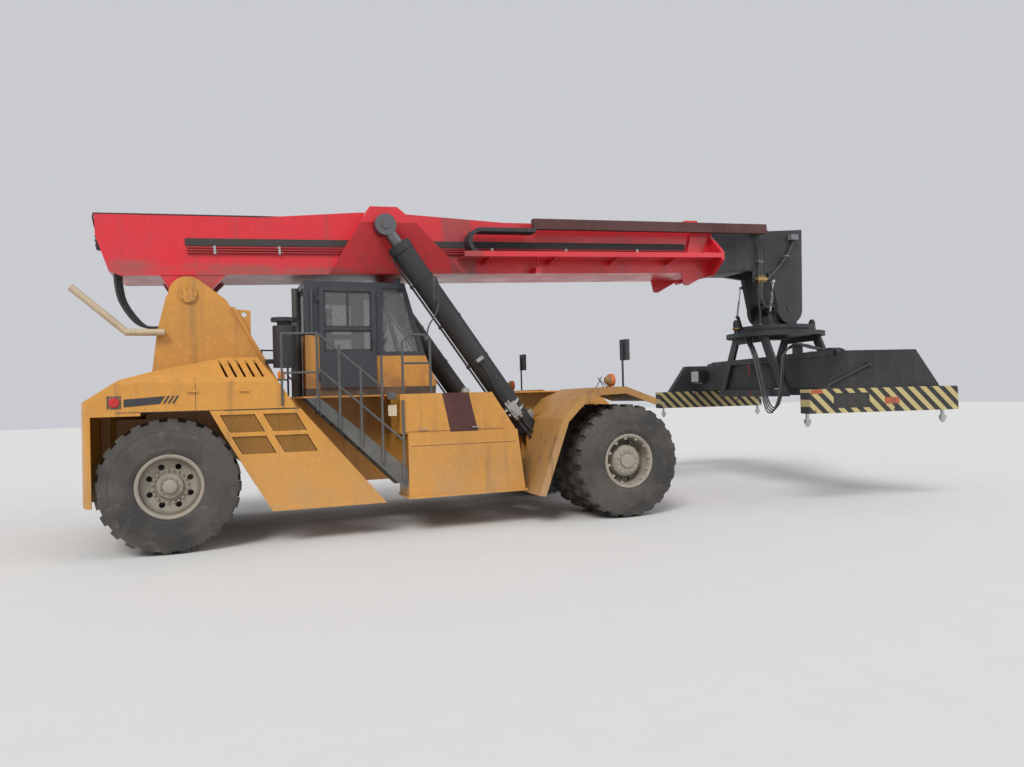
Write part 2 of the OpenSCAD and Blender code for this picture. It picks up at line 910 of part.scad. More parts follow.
module boom_outer() {
    top = boom_low + boom_h;
    box = [
        [boom_rear, top], [boom_rear, boom_low + 520], [boom_rear + 130, boom_low + 60],
        [boom_rear + 260, boom_low], [boom_tip, boom_low], [boom_tip, top]
    ];
    inside = [
        [boom_rear + boom_wall, top - boom_wall], [boom_rear + boom_wall, boom_low + 530],
        [boom_rear + 150, boom_low + 75], [boom_rear + 270, boom_low + boom_wall],
        [boom_tip + 10, boom_low + boom_wall], [boom_tip + 10, top - boom_wall]
    ];
    half = boom_w / 2;
    color(red)
        placed()
            on_boom() {
                difference() {
                    slab(box, -half, half);
                    slab(inside, -half + boom_wall, half - boom_wall);
                }
                // Pivot lugs under the box
                both()
                    difference() {
                        slab([[-330, boom_low + 5], [-130, -90], [130, -90], [500, boom_low + 5]],
                             half - 110, half - 10);
                        shaft(0, 0, pivot_r + pin_fit, half - 200, half + 10);
                    }
                both()
                    difference() {
                        shaft(0, 0, 150, half - 110, half - 10);
                        shaft(0, 0, pivot_r + pin_fit, half - 200, half + 10);
                    }
                // Wear pads in the mouth
                for (z = [[boom_low + boom_wall - 1, inner_low - rest_gap],
                          [inner_low + inner_h + rest_gap, top - boom_wall + 1]])
                    block(boom_tip - 400, boom_tip - 20, -300, 300, z[0], z[1]);
                // End collar, flared over the shelf, and the lips under the mouth
                difference() {
                    cross([
                        [half + 60, boom_low - 60], [half + 60, top + 60], [-half - 60, top + 60],
                        [-half - 60, 900], [-half - 370, 580], [-half - 370, 440], [-half - 60, boom_low - 60]
                    ], boom_tip - 60, boom_tip);
                    block(boom_tip - 70, boom_tip + 10, -half + 1, half - 1, boom_low + 1, top - 1);
                }
                both()
                    slab([
                        [boom_tip - 620, boom_low + 1], [boom_tip - 580, 70], [boom_tip - 500, 60],
                        [boom_tip - 50, boom_low + 1]
                    ], half - 40, half - 5);
                // Slanted cheeks beside the collar and the hump over it
                both()
                    slab([
                        [boom_tip - 530, 580], [boom_tip - 50, 580], [boom_tip - 50, top], [boom_tip - 390, top]
                    ], half - 1, half + 45);
                slab([
                    [boom_tip - 420, top - 1], [boom_tip - 5, top - 1], [boom_tip - 60, top + 170],
                    [boom_tip - 310, top + 170]
                ], -250, 250);
                // Side shelf
                shelf();
            }
}

// The shelf that carries the energy chain along the right side
module shelf() {
    half = boom_w / 2;
    block(3800, boom_tip - 60, -half - 370, -half, 480, 500);
    block(3800, boom_tip - 60, -half - 370, -half - 350, 500, 560);
    for (x = [4200, 5300, 6400, 7500])
        cross([[-half - 330, 480], [-half, 480], [-half, 400], [-half - 330, 460]], x, x + 20);
    // Work lamp that hangs under the shelf
    block(5070, 5090, -half - 140, -half - 100, 340, 481);
    slab([[5020, 250], [5120, 270], [5120, 350], [5020, 350]], -half - 180, -half - 60);
}

module lift_bracket() {
    side_view = [[1870, boom_low], [3890, boom_low], [2820, 1175], [2430, 1175]];
    back_view = [
        [-520, boom_low], [520, boom_low], [880, 950], [880, 1175], [-880, 1175], [-880, 950]
    ];
    half = boom_w / 2;
    eye = [cos(boom_rise) * (top_eye.x - pivot_x) + sin(boom_rise) * (top_eye.y - pivot_z),
           cos(boom_rise) * (top_eye.y - pivot_z) - sin(boom_rise) * (top_eye.x - pivot_x)];
    color(red)
        placed()
            on_boom() {
                difference() {
                    intersection() {
                        slab(side_view, -900, 900);
                        cross(back_view, 1800, 4000);
                    }
                    block(1700, 4100, -half, half, boom_low - 10, boom_low + boom_h);
                }
                slab([
                    [1000, boom_low + boom_h], [4600, boom_low + boom_h], [2900, 1170], [2350, 1170]
                ], -half, half);
                both()
                    shaft(eye.x, eye.y, 130, 700, cyl_y - eye_w / 2 - 5);
            }
}

// Energy chain: a lower run on the shelf, a bend and an upper run to the carrier bar
module energy_chain() {
    y = -boom_w / 2 - 330;
    r = 210;
    low = 500 + rest_gap;
    color(black)
        placed()
            on_boom()
                translate([0, y, 0]) {
                    block(4100, 6900, 0, 240, low, low + 60);
                    difference() {
                        shaft(4100, low + r, r, 0, 240);
                        shaft(4100, low + r, r - 60, -1, 241);
                        block(4100, 4100 + r + 10, -1, 241, low - 10, low + 2 * r + 10);
                    }
                    block(4100, 5000, 0, 240, low + 2 * r - 60, low + 2 * r);
                }
}

module boom_inner() {
    low = inner_low;
    top = inner_low + inner_h;
    half = inner_w / 2;
    color(black)
        placed()
            on_boom() {
                difference() {
                    block(750, head_x + 1, -half, half, low, top);
                    block(740, head_x + 10, -half + boom_wall, half - boom_wall, low + boom_wall, top - boom_wall);
                }
                head_plates();
                block(750, 900, -half - 24, half + 24, low + 40, top - 40);
            }
}

module head_plates() {
    low = inner_low;
    top = inner_low + inner_h;
    front = tilt_at.x + 380;
    cheek = [
        [head_x, low], [head_x + 460, low - 60], [tilt_at.x - cheek_r, tilt_at.y + 60],
        [tilt_at.x + cheek_r, tilt_at.y], [front, top + 60], [head_x, top]
    ];
    both()
        difference() {
            union() {
                slab(cheek, 330, 430);
                shaft(tilt_at.x, tilt_at.y, cheek_r, 330, 430);
            }
            shaft(tilt_at.x, tilt_at.y, tilt_r + pin_fit, 300, 460);
        }
    block(head_x - 1, head_x + 30, -430, 430, low, top);
    slab([[front - 110, low], [front - 50, low], [front, top + 60], [front - 60, top + 60]], -430, 430);
    block(head_x, front - 30, -430, 430, top - 20, top + 10);
}

module carrier_bar() {
    y = -boom_w / 2 - 200;
    color(brown)
        placed()
            on_boom() {
                block(5000 + rest_gap, 9500, y - 50, y + 50, 930, 1090);
                block(head_x + 20, head_x + 200, y, -430, 960, 1000);
            }
}

// Lift cylinders

module at_low_eye() {
    translate([low_eye.x, 0, low_eye.y])
        rotate([0, -cyl_lean, 0])
            children();
}

module lift_barrel(s) {
    color(black)
        placed()
            side(s)
                at_low_eye()
                    translate([0, cyl_y, 0])
                        difference() {
                            union() {
                                cylinder(r = 85, h = 150);
                                translate([0, 0, 140])
                                    cylinder(r = barrel_r, h = barrel_l - 140);
                                shaft(0, 0, 130, -eye_w / 2, eye_w / 2);
                            }
                            shaft(0, 0, cyl_pin_r + pin_fit, -200, 200);
                            translate([0, 0, 260])
                                cylinder(r = barrel_r - 30, h = barrel_l - 400);
                            translate([0, 0, 260])
                                cylinder(r = rod_r + pin_fit, h = barrel_l);
                        }
}

module lift_rod(s) {
    color(steel)
        placed()
            side(s)
                at_low_eye()
                    translate([0, cyl_y, 0])
                        {
                            translate([0, 0, 380])
                                cylinder(r = rod_r, h = cyl_len - 380);
                            shaft(0, cyl_len, eye_r, -eye_w / 2, eye_w / 2);
                            shaft(0, cyl_len, cyl_pin_r, -eye_w / 2, eye_w / 2 + 20);
                        }
}

module lift_barrel_right() lift_barrel(-1);
module lift_barrel_left() lift_barrel(1);
module lift_rod_right() lift_rod(-1);
module lift_rod_left() lift_rod(1);

// Attachment

module hanger() {
    color(black)
        placed()
            translate([ring_x, 0, 0]) {
                both() {
                    shaft(0, tilt_z, 170, 200, 324);
                    slab([[-170, tilt_z], [-260, 2930], [260, 2930], [170, tilt_z]], 200, 324);
                }
                shaft(0, tilt_z, tilt_r, -440, 440);
                translate([0, 0, 2880])
                    cylinder(r = teeth_r - 20, h = 60);
                translate([0, 0, 2820])
                    linear_extrude(60)
                        polygon(gear_plan(teeth, teeth_r - 26, teeth_r));
                translate([0, 0, 2700])
                    cylinder(r = 250, h = 130);
            }
}

// Outline of a toothed ring with slanted flanks
function gear_plan(count, root, tip) = [
    for (i = [0:count - 1])
        for (p = [[0, root], [0.15, tip], [0.4, tip], [0.55, root]])
            p[1] * [cos((i + p[0]) * 360 / count), sin((i + p[0]) * 360 / count)]
];

// A slewing motor over its pinion, beside the toothed ring
module slew_motor() {
    translate([-teeth_r - 52, 0, 2819]) {
        cylinder(r = 45, h = 75);
        translate([0, 0, 70])
            cylinder(r = 60, h = 150);
        translate([0, 0, 215])
            cylinder(r = 42, h = 40);
    }
}

module slew_platform() {
    leg = [
        [-620, 2790], [620, 2790], [1350, 1640], [-1350, 1640]
    ];
    upper_hole = [[-480, 2640], [480, 2640], [650, 2350], [-650, 2350]];
    lower_hole = [[-760, 2260], [760, 2260], [1060, 1770], [-1060, 1770]];
    color(black)
        placed()
            at_ring() {
                difference() {
                    translate([0, 0, 2740])
                        cylinder(r = 885, h = 79.7, $fn = 96);
                    translate([0, 0, 2600])
                        cylinder(r = 250 + pin_fit, h = 300);
                }
                for (x = [-main_half - 60, main_half + 10])
                    difference() {
                        cross(leg, x, x + 50);
                        cross(upper_hole, x - 1, x + 51);
                        cross(lower_hole, x - 1, x + 51);
                    }
                for (y = [-1150, 1050])
                    block(-main_half - 10, main_half + 10, y, y + 100, 1660, main_low - rest_gap);
                for (turn = [0, 180])
                    rotate([0, 0, turn])
                        slew_motor();
            }
}

module spreader_beam() {
    web = 28;
    inner = main_half - main_wall - web / 2;
    color(black)
        placed()
            at_ring() {
                difference() {
                    block(-main_half, main_half, -main_l / 2, main_l / 2, main_low, main_low + main_h);
                    for (x = [-main_half + main_wall, web / 2])
                        block(x, x + inner, -main_l / 2 - 10, main_l / 2 + 10,
                              main_low + main_wall, main_low + main_h - main_wall);
                }
                // Control box on the rear face
                block(-main_half - 160, 1 - main_half, 2050, 2480, 1950, 2200);
            }
}

// One telescopic arm: the inner beam, the end beam and its gusset
module arm() {
    web = 28;
    x0 = web / 2 + run_gap;
    x1 = main_half - main_wall - run_gap;
    z0 = main_low + main_wall + rest_gap;
    z1 = main_low + main_h - main_wall - run_gap;
    lock_hole = lock_r + pin_fit;
    difference() {
        block(x0, x1, arm_end, end_beam_y - 100, z0, z1);
        block(x0 + 12, x1 - 12, arm_end - 10, end_beam_y - 120, z0 + 12, z1 - 12);
    }
    difference() {
        union() {
            block(-end_beam_l / 2, end_beam_l / 2, end_beam_y - 130, end_beam_y + 130, end_low, end_low + end_h);
            cross_gusset();
        }
        for (x = [-lock_span / 2, lock_span / 2])
            translate([x, lock_y, end_low - 1])
                cylinder(r = lock_hole, h = 200);
    }
}

module cross_gusset() {
    slab([
        [-950, end_low + end_h - 1], [950, end_low + end_h - 1], [560, main_low + main_h + 60],
        [-560, main_low + main_h + 60]
    ], end_beam_y - 110, end_beam_y + 90);
}

module arm_left() color(black) placed() at_ring() arm();
module arm_right() color(black) placed() at_ring() rotate([0, 0, 180]) arm();

module twistlock(x, y) {
    color(steel)
        placed()
            at_ring()
                translate([x, y, 0]) {
                    translate([0, 0, end_low - 90])
                        cylinder(r = lock_r, h = 240);
                    difference() {
                        translate([0, 0, end_low - 200])
                            cylinder(r1 = 20, r2 = 52, h = 60);
                        both()
                            block(-60, 60, 30, 80, end_low - 210, end_low);
                    }
                    difference() {
                        translate([0, 0, end_low - 140])
                            cylinder(r = 52, h = 50);
                        both()
                            block(-60, 60, 30, 80, end_low - 210, end_low);
                    }
                }
}

module twistlock_right_rear() twistlock(-lock_span / 2, -lock_y);
module twistlock_right_front() twistlock(lock_span / 2, -lock_y);
module twistlock_left_rear() twistlock(-lock_span / 2, lock_y);
module twistlock_left_front() twistlock(lock_span / 2, lock_y);

chassis_frame();
tower();
counterweight();
hood();
engine_block();
side_panel_right();
side_panel_left();
drive_axle();
steer_axle();
deck();
tank_right();
tank_left();
fender_right();
fender_left();
stairs_right();
stairs_left();
air_cleaner();
exhaust();
hose_guard();
mirror_right();
mirror_left();
cab_lower();
cab_frame();
cab_glass();
seat();
console();
door_right();
door_left();
door_glass_right();
door_glass_left();
knuckle_right();
knuckle_left();
rear_tyre_right();
rear_tyre_left();
rear_rim_right();
rear_rim_left();
front_tyres_right();
front_tyres_left();
front_rim_right();
front_rim_left();
boom_outer();
lift_bracket();
energy_chain();
boom_inner();
carrier_bar();
lift_barrel_right();
lift_barrel_left();
lift_rod_right();
lift_rod_left();
hanger();
slew_platform();
spreader_beam();
arm_right();
arm_left();
twistlock_right_rear();
twistlock_right_front();
twistlock_left_rear();
twistlock_left_front();
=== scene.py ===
"""Looks of the reach stacker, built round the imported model.

Sizes are metres. Places are given in the vehicle's own frame, where X counts forward
from the rear axle, Y is to the left and Z is up. Pieces of the boom, the attachment and
the lift cylinders are given in the frames BOOM, RING and CYLINDER. What stands on both
sides is drawn on the left and mirrored. Shape.done moves all of it to the row frame.
"""

import math

import bmesh
import bpy
from mathutils import Matrix, Vector


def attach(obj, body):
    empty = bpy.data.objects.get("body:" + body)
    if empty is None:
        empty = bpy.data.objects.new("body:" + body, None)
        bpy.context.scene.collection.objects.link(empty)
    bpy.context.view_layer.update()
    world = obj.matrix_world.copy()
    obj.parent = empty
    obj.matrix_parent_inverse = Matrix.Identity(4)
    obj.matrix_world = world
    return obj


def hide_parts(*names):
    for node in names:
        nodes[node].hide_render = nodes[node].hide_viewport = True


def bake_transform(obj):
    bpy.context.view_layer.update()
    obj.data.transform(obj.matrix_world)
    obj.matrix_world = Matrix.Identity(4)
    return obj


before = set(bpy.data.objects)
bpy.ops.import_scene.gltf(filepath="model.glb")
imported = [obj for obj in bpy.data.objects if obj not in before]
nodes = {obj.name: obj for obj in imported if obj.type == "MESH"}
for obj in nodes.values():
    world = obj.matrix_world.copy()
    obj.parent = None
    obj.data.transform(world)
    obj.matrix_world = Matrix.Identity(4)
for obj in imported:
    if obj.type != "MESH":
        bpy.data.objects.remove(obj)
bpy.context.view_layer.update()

# The row frame's origin on the vehicle's X axis, and the vehicle's main measures
MIDDLE = 5.53
WHEELBASE = 6.0
WHEEL_HEIGHT = 0.808
TAIL_SIDE, TANK_SIDE, SILL_SIDE = 1.65, 1.75, 1.78
PIVOT = (0.23, 0, 3.23)
BOOM_LEAN = math.radians(-2.2)
SLEW_AXIS = 10.44
SLEW_TURN = math.radians(-12.1)
CYLINDER_PIN = (4.95, 0, 1.16)
CYLINDER_LEAN = math.radians(-35.3)

X_AXIS, Y_AXIS, Z_AXIS = (1, 0, 0), (0, 1, 0), (0, 0, 1)
REST = Matrix.Identity(4)
TO_ROW = Matrix.Translation((-MIDDLE, 0, 0))
BOOM = Matrix.Translation(PIVOT) @ Matrix.Rotation(BOOM_LEAN, 4, "Y")
RING = Matrix.Translation((SLEW_AXIS, 0, 0)) @ Matrix.Rotation(SLEW_TURN, 4, "Z")
CYLINDER = Matrix.Translation(CYLINDER_PIN) @ Matrix.Rotation(CYLINDER_LEAN, 4, "Y")
MIRROR = Matrix.Diagonal((1, -1, 1, 1))
SIDES = {"right": MIRROR, "left": REST}

CAMERA_PLACE = (0.37, -11.6, 1.8)
CAMERA_ANGLES = (22, 0.8, -1.5)
LENS, SENSOR = 27.03, 36

STREAK = (0.07, 0.055, 0.045)
DUST = (0.30, 0.24, 0.17)
# colour of the darkening towards the front, which is partly soot and partly painted shade
SOOT_AND_SHADE = (0.02, 0.018, 0.018)
RUST = (0.16, 0.055, 0.02)


def link(name, data):
    """Adds an object with this data to the scene."""
    made = bpy.data.objects.new(name, data)
    bpy.context.scene.collection.objects.link(made)
    return made


# Camera

def place_camera():
    """The photograph's camera. Its angles are yaw, pitch and roll in degrees."""
    yaw, pitch, roll = (math.radians(a) for a in CAMERA_ANGLES)
    level = math.cos(pitch)
    forward = Vector((math.sin(yaw) * level, math.cos(yaw) * level, math.sin(pitch)))
    right = Vector((math.cos(yaw), -math.sin(yaw), 0))
    up = right.cross(forward)
    right, up = (
        right * math.cos(roll) + up * math.sin(roll),
        up * math.cos(roll) - right * math.sin(roll),
    )
    data = bpy.data.cameras.new("camera")
    data.lens = LENS
    data.sensor_width = SENSOR
    data.clip_end = 200
    camera = link("camera", data)
    turn = Matrix((right, up, -forward)).transposed().to_4x4()
    x, y, z = CAMERA_PLACE
    camera.matrix_world = Matrix.Translation((x - MIDDLE, y, z)) @ turn
    bpy.context.scene.camera = camera


# Materials

class Look:
    """A procedural material that works from the object's own coordinates."""

    def __init__(self, name, base, rough=0.5, metal=0.0):
        self.mat = bpy.data.materials.new(name)
        self.mat.use_nodes = True
        self.tree = self.mat.node_tree
        self.shader = self.tree.nodes["Principled BSDF"]
        self.base = (*base, 1)
        self.colour = None
        self.set("Base Color", self.base)
        self.set("Roughness", rough)
        self.set("Metallic", metal)
        self.coords = self.new("ShaderNodeTexCoord").outputs["Object"]
        self.split = self.new("ShaderNodeSeparateXYZ", {"Vector": self.coords}).outputs

    def set(self, name, value):
        self.feed(self.shader.inputs[name], value)

    def feed(self, socket, value):
        """Links a socket, or gives it a fixed value."""
        if isinstance(value, bpy.types.NodeSocket):
            self.tree.links.new(value, socket)
        else:
            socket.default_value = value

    def new(self, kind, inputs=None, **props):
        node = self.tree.nodes.new(kind)
        for key, value in props.items():
            setattr(node, key, value)
        for key, value in (inputs or {}).items():
            self.feed(node.inputs[key], value)
        return node

    def math(self, operation, a, b=0.0):
        return self.new("ShaderNodeMath", {0: a, 1: b}, operation=operation).outputs[0]

    def times(self, a, b):
        return self.math("MULTIPLY", a, b)

    def noise(self, scale, detail=5.0, stretch=(1, 1, 1)):
        made = {0: self.coords, 1: stretch}
        vector = self.new("ShaderNodeVectorMath", made, operation="MULTIPLY")
        made = {"Vector": vector.outputs[0], "Scale": scale, "Detail": detail, "Roughness": 0.62}
        return self.new("ShaderNodeTexNoise", made).outputs[0]

    def ramp(self, value, low, high, to_low=0.0, to_high=1.0):
        made = {
            "Value": value, "From Min": low, "From Max": high, "To Min": to_low, "To Max": to_high,
        }
        return self.new("ShaderNodeMapRange", made, interpolation_type="SMOOTHSTEP").outputs[0]

    def patches(self, scale, detail, low, high):
        """A mask of cloudy patches."""
        return self.ramp(self.noise(scale, detail), low, high)

    def tint(self, mask, colour, strength=1.0):
        """Lays a colour over what is there, where the mask is high."""
        factor = self.times(mask, strength)
        under = self.colour or self.base
        mix = self.new("ShaderNodeMix", {0: factor, 6: under, 7: (*colour, 1)}, data_type="RGBA")
        self.colour = mix.outputs[2]
        self.set("Base Color", self.colour)

    def rough(self, value, low, high):
        self.set("Roughness", self.ramp(value, 0.3, 0.7, low, high))

    def bump(self, height, distance, strength=0.5):
        made = {"Height": height, "Distance": distance, "Strength": strength}
        self.set("Normal", self.new("ShaderNodeBump", made).outputs[0])


def paint(
    name, base, rough=0.45, grime=0.35, dust=0.35, rust=0.5, coat=0.0, dust_top=1.6, soot=0.0
):
    """Painted steel: cloudy tone, rain streaks, dust thinning upwards, rust specks, and towards the
    front soot with painted shade.
    """
    look = Look(name, base, rough)
    cloud = look.noise(0.8, 6)
    fine = look.noise(14, 8)
    look.tint(look.ramp(cloud, 0.35, 0.7), tuple(c * 0.66 for c in base), 0.55)
    look.tint(look.ramp(fine, 0.5, 0.75), tuple(min(1, c * 1.35 + 0.03) for c in base), 0.3)
    streak = look.noise(1.0, 6, (7, 7, 0.45))
    look.tint(look.ramp(streak, 0.52, 0.72), STREAK, grime)
    if dust:
        height = look.ramp(look.split["Z"], 0.2, dust_top, 1.0, 0.0)
        look.tint(look.times(height, look.patches(2.3, 7, 0.3, 0.65)), DUST, dust)
    # darker towards the front: partly soot, partly painted shade where the front stands in shade
    if soot:
        front = look.ramp(look.split["X"], -3.0, 6.0)
        look.tint(look.times(front, look.patches(0.7, 5, 0.25, 0.7)), SOOT_AND_SHADE, soot)
    if rust:
        look.tint(look.patches(5.5, 10, 0.66, 0.72), RUST, rust)
    look.rough(cloud, max(rough - 0.1, 0.05), min(rough + 0.2, 1))
    look.bump(fine, 0.004, 0.25)
    if coat:
        look.set("Coat Weight", coat)
        look.set("Coat Roughness", 0.25)
    return look


def rubber(name):
    look = Look(name, (0.035, 0.033, 0.031), 0.85)
    look.tint(look.patches(1.6, 6, 0.35, 0.65), (0.10, 0.085, 0.07), 0.6)
    look.tint(look.patches(9, 9, 0.55, 0.75), (0.17, 0.145, 0.115), 0.45)
    look.bump(look.noise(60, 6), 0.004, 0.4)
    return look


def glass(name):
    look = Look(name, (0.17, 0.18, 0.175), 0.04)
    look.set("Alpha", 0.42)
    look.rough(look.noise(3, 8), 0.01, 0.04)
    look.tint(look.ramp(look.noise(1.4, 6, (3, 3, 0.8)), 0.5, 0.75), (0.24, 0.23, 0.20), 0.25)
    return look


def plain(name, base, rough=0.5, metal=0.0, mottle=0.35, scale=18):
    """A small part's finish: a base colour with a mottled tone and a fine grain."""
    look = Look(name, base, rough, metal)
    grain = look.noise(scale, 6)
    look.tint(look.ramp(grain, 0.4, 0.7), tuple(c * 0.6 for c in base), mottle)
    look.rough(grain, max(rough - 0.08, 0.03), min(rough + 0.12, 1))
    look.bump(grain, 0.002, 0.2)
    return look


def striped(look, value, width, colour, zone, strength):
    """Diagonal stripes of one colour over half of the paint in a zone, worn by a noise."""
    wave = look.math("FRACT", look.math("DIVIDE", value, width))
    worn = look.patches(4, 8, 0.68, 0.6)
    mask = look.times(look.ramp(wave, 0.48, 0.52), worn)
    look.tint(look.times(mask, zone), colour, strength)


def boom_red():
    """The boom's paint, with the bare slanted stripe before the lift bracket's front."""
    look = paint("boom_red", (0.60, 0.012, 0.022), 0.38, grime=0.3, dust=0, rust=0.5, coat=0.35)
    slant = look.math("ADD", look.split["X"], look.times(look.split["Z"], 0.15))
    place, half, edge = 4.665 - MIDDLE, 0.2, 0.04
    behind = look.ramp(slant, place - half - edge, place - half)
    before = look.ramp(slant, place + half, place + half + edge, 1, 0)
    inside = look.times(behind, before)
    look.tint(look.times(inside, look.patches(6, 8, 0.3, 0.45)), (0.12, 0.05, 0.045), 0.5)
    low = look.ramp(look.split["Z"], 3.62, 3.72, 1.0, 0.0)
    look.tint(look.times(low, look.patches(3, 7, 0.3, 0.6)), (0.16, 0.09, 0.07), 0.55)
    return look


def cab_yellow():
    """The cab's yellow body over its dark plinth, with rust at its lower edge."""
    look = paint("cab_yellow", (0.52, 0.235, 0.035), 0.4, coat=0.3, soot=0.3)
    look.tint(look.ramp(look.split["Z"], 1.957, 1.953), (0.02, 0.02, 0.02), 0.95)
    edge = look.ramp(look.split["Z"], 2.35, 1.97, 0.0, 1.0)
    look.tint(look.times(edge, look.patches(3.2, 7, 0.42, 0.62)), (0.16, 0.075, 0.03), 0.6)
    return look


def hazard(name, base):
    """Soot-black steel whose end beams carry pale yellow slanted stripes."""
    look = paint(name, base, 0.6, grime=0.3, dust=0.25, rust=0.35)
    axis = (SLEW_AXIS - MIDDLE, 0, 0)
    shift = look.new("ShaderNodeVectorMath", {0: look.coords, 1: axis}, operation="SUBTRACT")
    made = {"Vector": shift.outputs[0], "Angle": -SLEW_TURN}
    turned = look.new("ShaderNodeVectorRotate", made, rotation_type="Z_AXIS")
    x, y, z = look.new("ShaderNodeSeparateXYZ", {"Vector": turned.outputs[0]}).outputs
    end = look.math("GREATER_THAN", look.math("ABSOLUTE", y), 2.895)
    low = look.math("LESS_THAN", z, 1.757)
    slant = look.math("ADD", look.math("ADD", x, z), 40)
    striped(look, slant, 0.205, (0.50, 0.40, 0.17), look.times(end, low), 0.85)
    return look


LOOKS = {
    "yellow": paint("yellow_paint", (0.54, 0.245, 0.036), 0.4, coat=0.3, soot=0.3),
    "yellow_cab": cab_yellow(),
    "yellow_fender": paint(
        "fender_paint", (0.40, 0.20, 0.05), 0.5, grime=0.6, dust=0.5, rust=0.6, soot=0.4
    ),
    "red": boom_red(),
    "black": paint("black_paint", (0.020, 0.021, 0.024), 0.5, grime=0.2, dust=0.2, rust=0.3),
    "soot": hazard("sooty_black", (0.018, 0.018, 0.020)),
    "dark": paint(
        "dark_grey_paint", (0.070, 0.073, 0.070), 0.5, grime=0.3, dust=0.35, rust=0.4, dust_top=2.2
    ),
    "cab": paint("cab_black", (0.028, 0.029, 0.038), 0.38, grime=0.25, dust=0, rust=0.1, coat=0.3),
    "beige": paint("beige_tube", (0.50, 0.40, 0.27), 0.55, grime=0.4, dust=0, rust=0.5),
    "brown": paint("brown_steel", (0.075, 0.022, 0.018), 0.6, grime=0.5, dust=0, rust=0.9),
    "iron": paint("cast_iron", (0.18, 0.18, 0.19), 0.7, grime=0.5, dust=0.2, rust=0.8),
    "rim": paint("rim_paint", (0.30, 0.27, 0.22), 0.6, grime=0.5, dust=0.5, rust=0.8, dust_top=2.0),
    "worn_orange": paint(
        "worn_orange_plate", (0.36, 0.085, 0.03), 0.6, grime=0.5, dust=0.2, rust=0.8
    ),
    "rubber": rubber("tyre_rubber"),
    "glass": glass("cab_glass_look"),
    "steel": plain("bright_steel", (0.55, 0.55, 0.56), 0.22, 1.0),
    "rod": plain("sooty_rod", (0.16, 0.16, 0.17), 0.35, 0.9),
    "brass": plain("brass_fitting", (0.36, 0.24, 0.10), 0.4, 0.8),
    "zinc": plain("zinc_plate", (0.45, 0.45, 0.44), 0.4, 0.9),
    "hose": plain("hose_rubber", (0.022, 0.022, 0.023), 0.55),
    "hose_grey": plain("grey_hose_rubber", (0.075, 0.072, 0.066), 0.6),
    "sleeve": plain("woven_sleeve", (0.05, 0.05, 0.055), 0.85, scale=120),
    "plastic": plain("black_plastic", (0.03, 0.03, 0.032), 0.5),
    "seat": plain("seat_cloth", (0.035, 0.035, 0.04), 0.9, scale=90),
    "pipe_red": plain("pipe_red", (0.30, 0.02, 0.025), 0.45),
    "lamp_red": plain("lamp_red", (0.50, 0.02, 0.02), 0.15),
    "lamp_amber": plain("lamp_amber", (0.75, 0.22, 0.02), 0.15),
    "lamp_clear": plain("lamp_clear", (0.75, 0.75, 0.70), 0.12),
    "orange": plain("orange_paint", (0.50, 0.13, 0.03), 0.5),
    "mirror": plain("mirror_glass", (0.80, 0.82, 0.83), 0.04, 1.0, mottle=0.1),
    # a dark fill for seams, bands and pockets; behind the hood grilles it is painted shade
    "dark_fill_and_shade": plain("dark_fill_and_painted_shade", (0.035, 0.033, 0.03), 0.75, scale=60),
}

NODE_LOOKS = {
    "yellow": "chassis_frame tower counterweight hood side_panel_right deck tank_right tank_left "
              "side_panel_left",
    "yellow_cab": "cab_lower",
    "yellow_fender": "fender_right fender_left",
    "red": "boom_outer lift_bracket",
    "black": "air_cleaner energy_chain boom_inner lift_barrel_right lift_barrel_left hanger "
             "slew_platform",
    "soot": "spreader_beam arm_right arm_left",
    "dark": "drive_axle steer_axle exhaust knuckle_right knuckle_left stairs_right stairs_left "
            "console",
    "cab": "cab_frame door_right door_left",
    "beige": "hose_guard",
    "brown": "carrier_bar",
    "iron": "engine_block",
    "plastic": "mirror_right mirror_left seat",
    "rim": "rear_rim_right rear_rim_left front_rim_right front_rim_left",
    "rubber": "rear_tyre_right rear_tyre_left front_tyres_right front_tyres_left",
    "glass": "cab_glass door_glass_right door_glass_left",
    "rod": "lift_rod_right lift_rod_left",
    "steel": "twistlock_right_rear twistlock_right_front twistlock_left_rear twistlock_left_front",
}


def dress_nodes():
    for look, names in NODE_LOOKS.items():
        for name in names.split():
            data = nodes[name].data
            data.materials.clear()
            data.materials.append(LOOKS[look].mat)


# Shapes

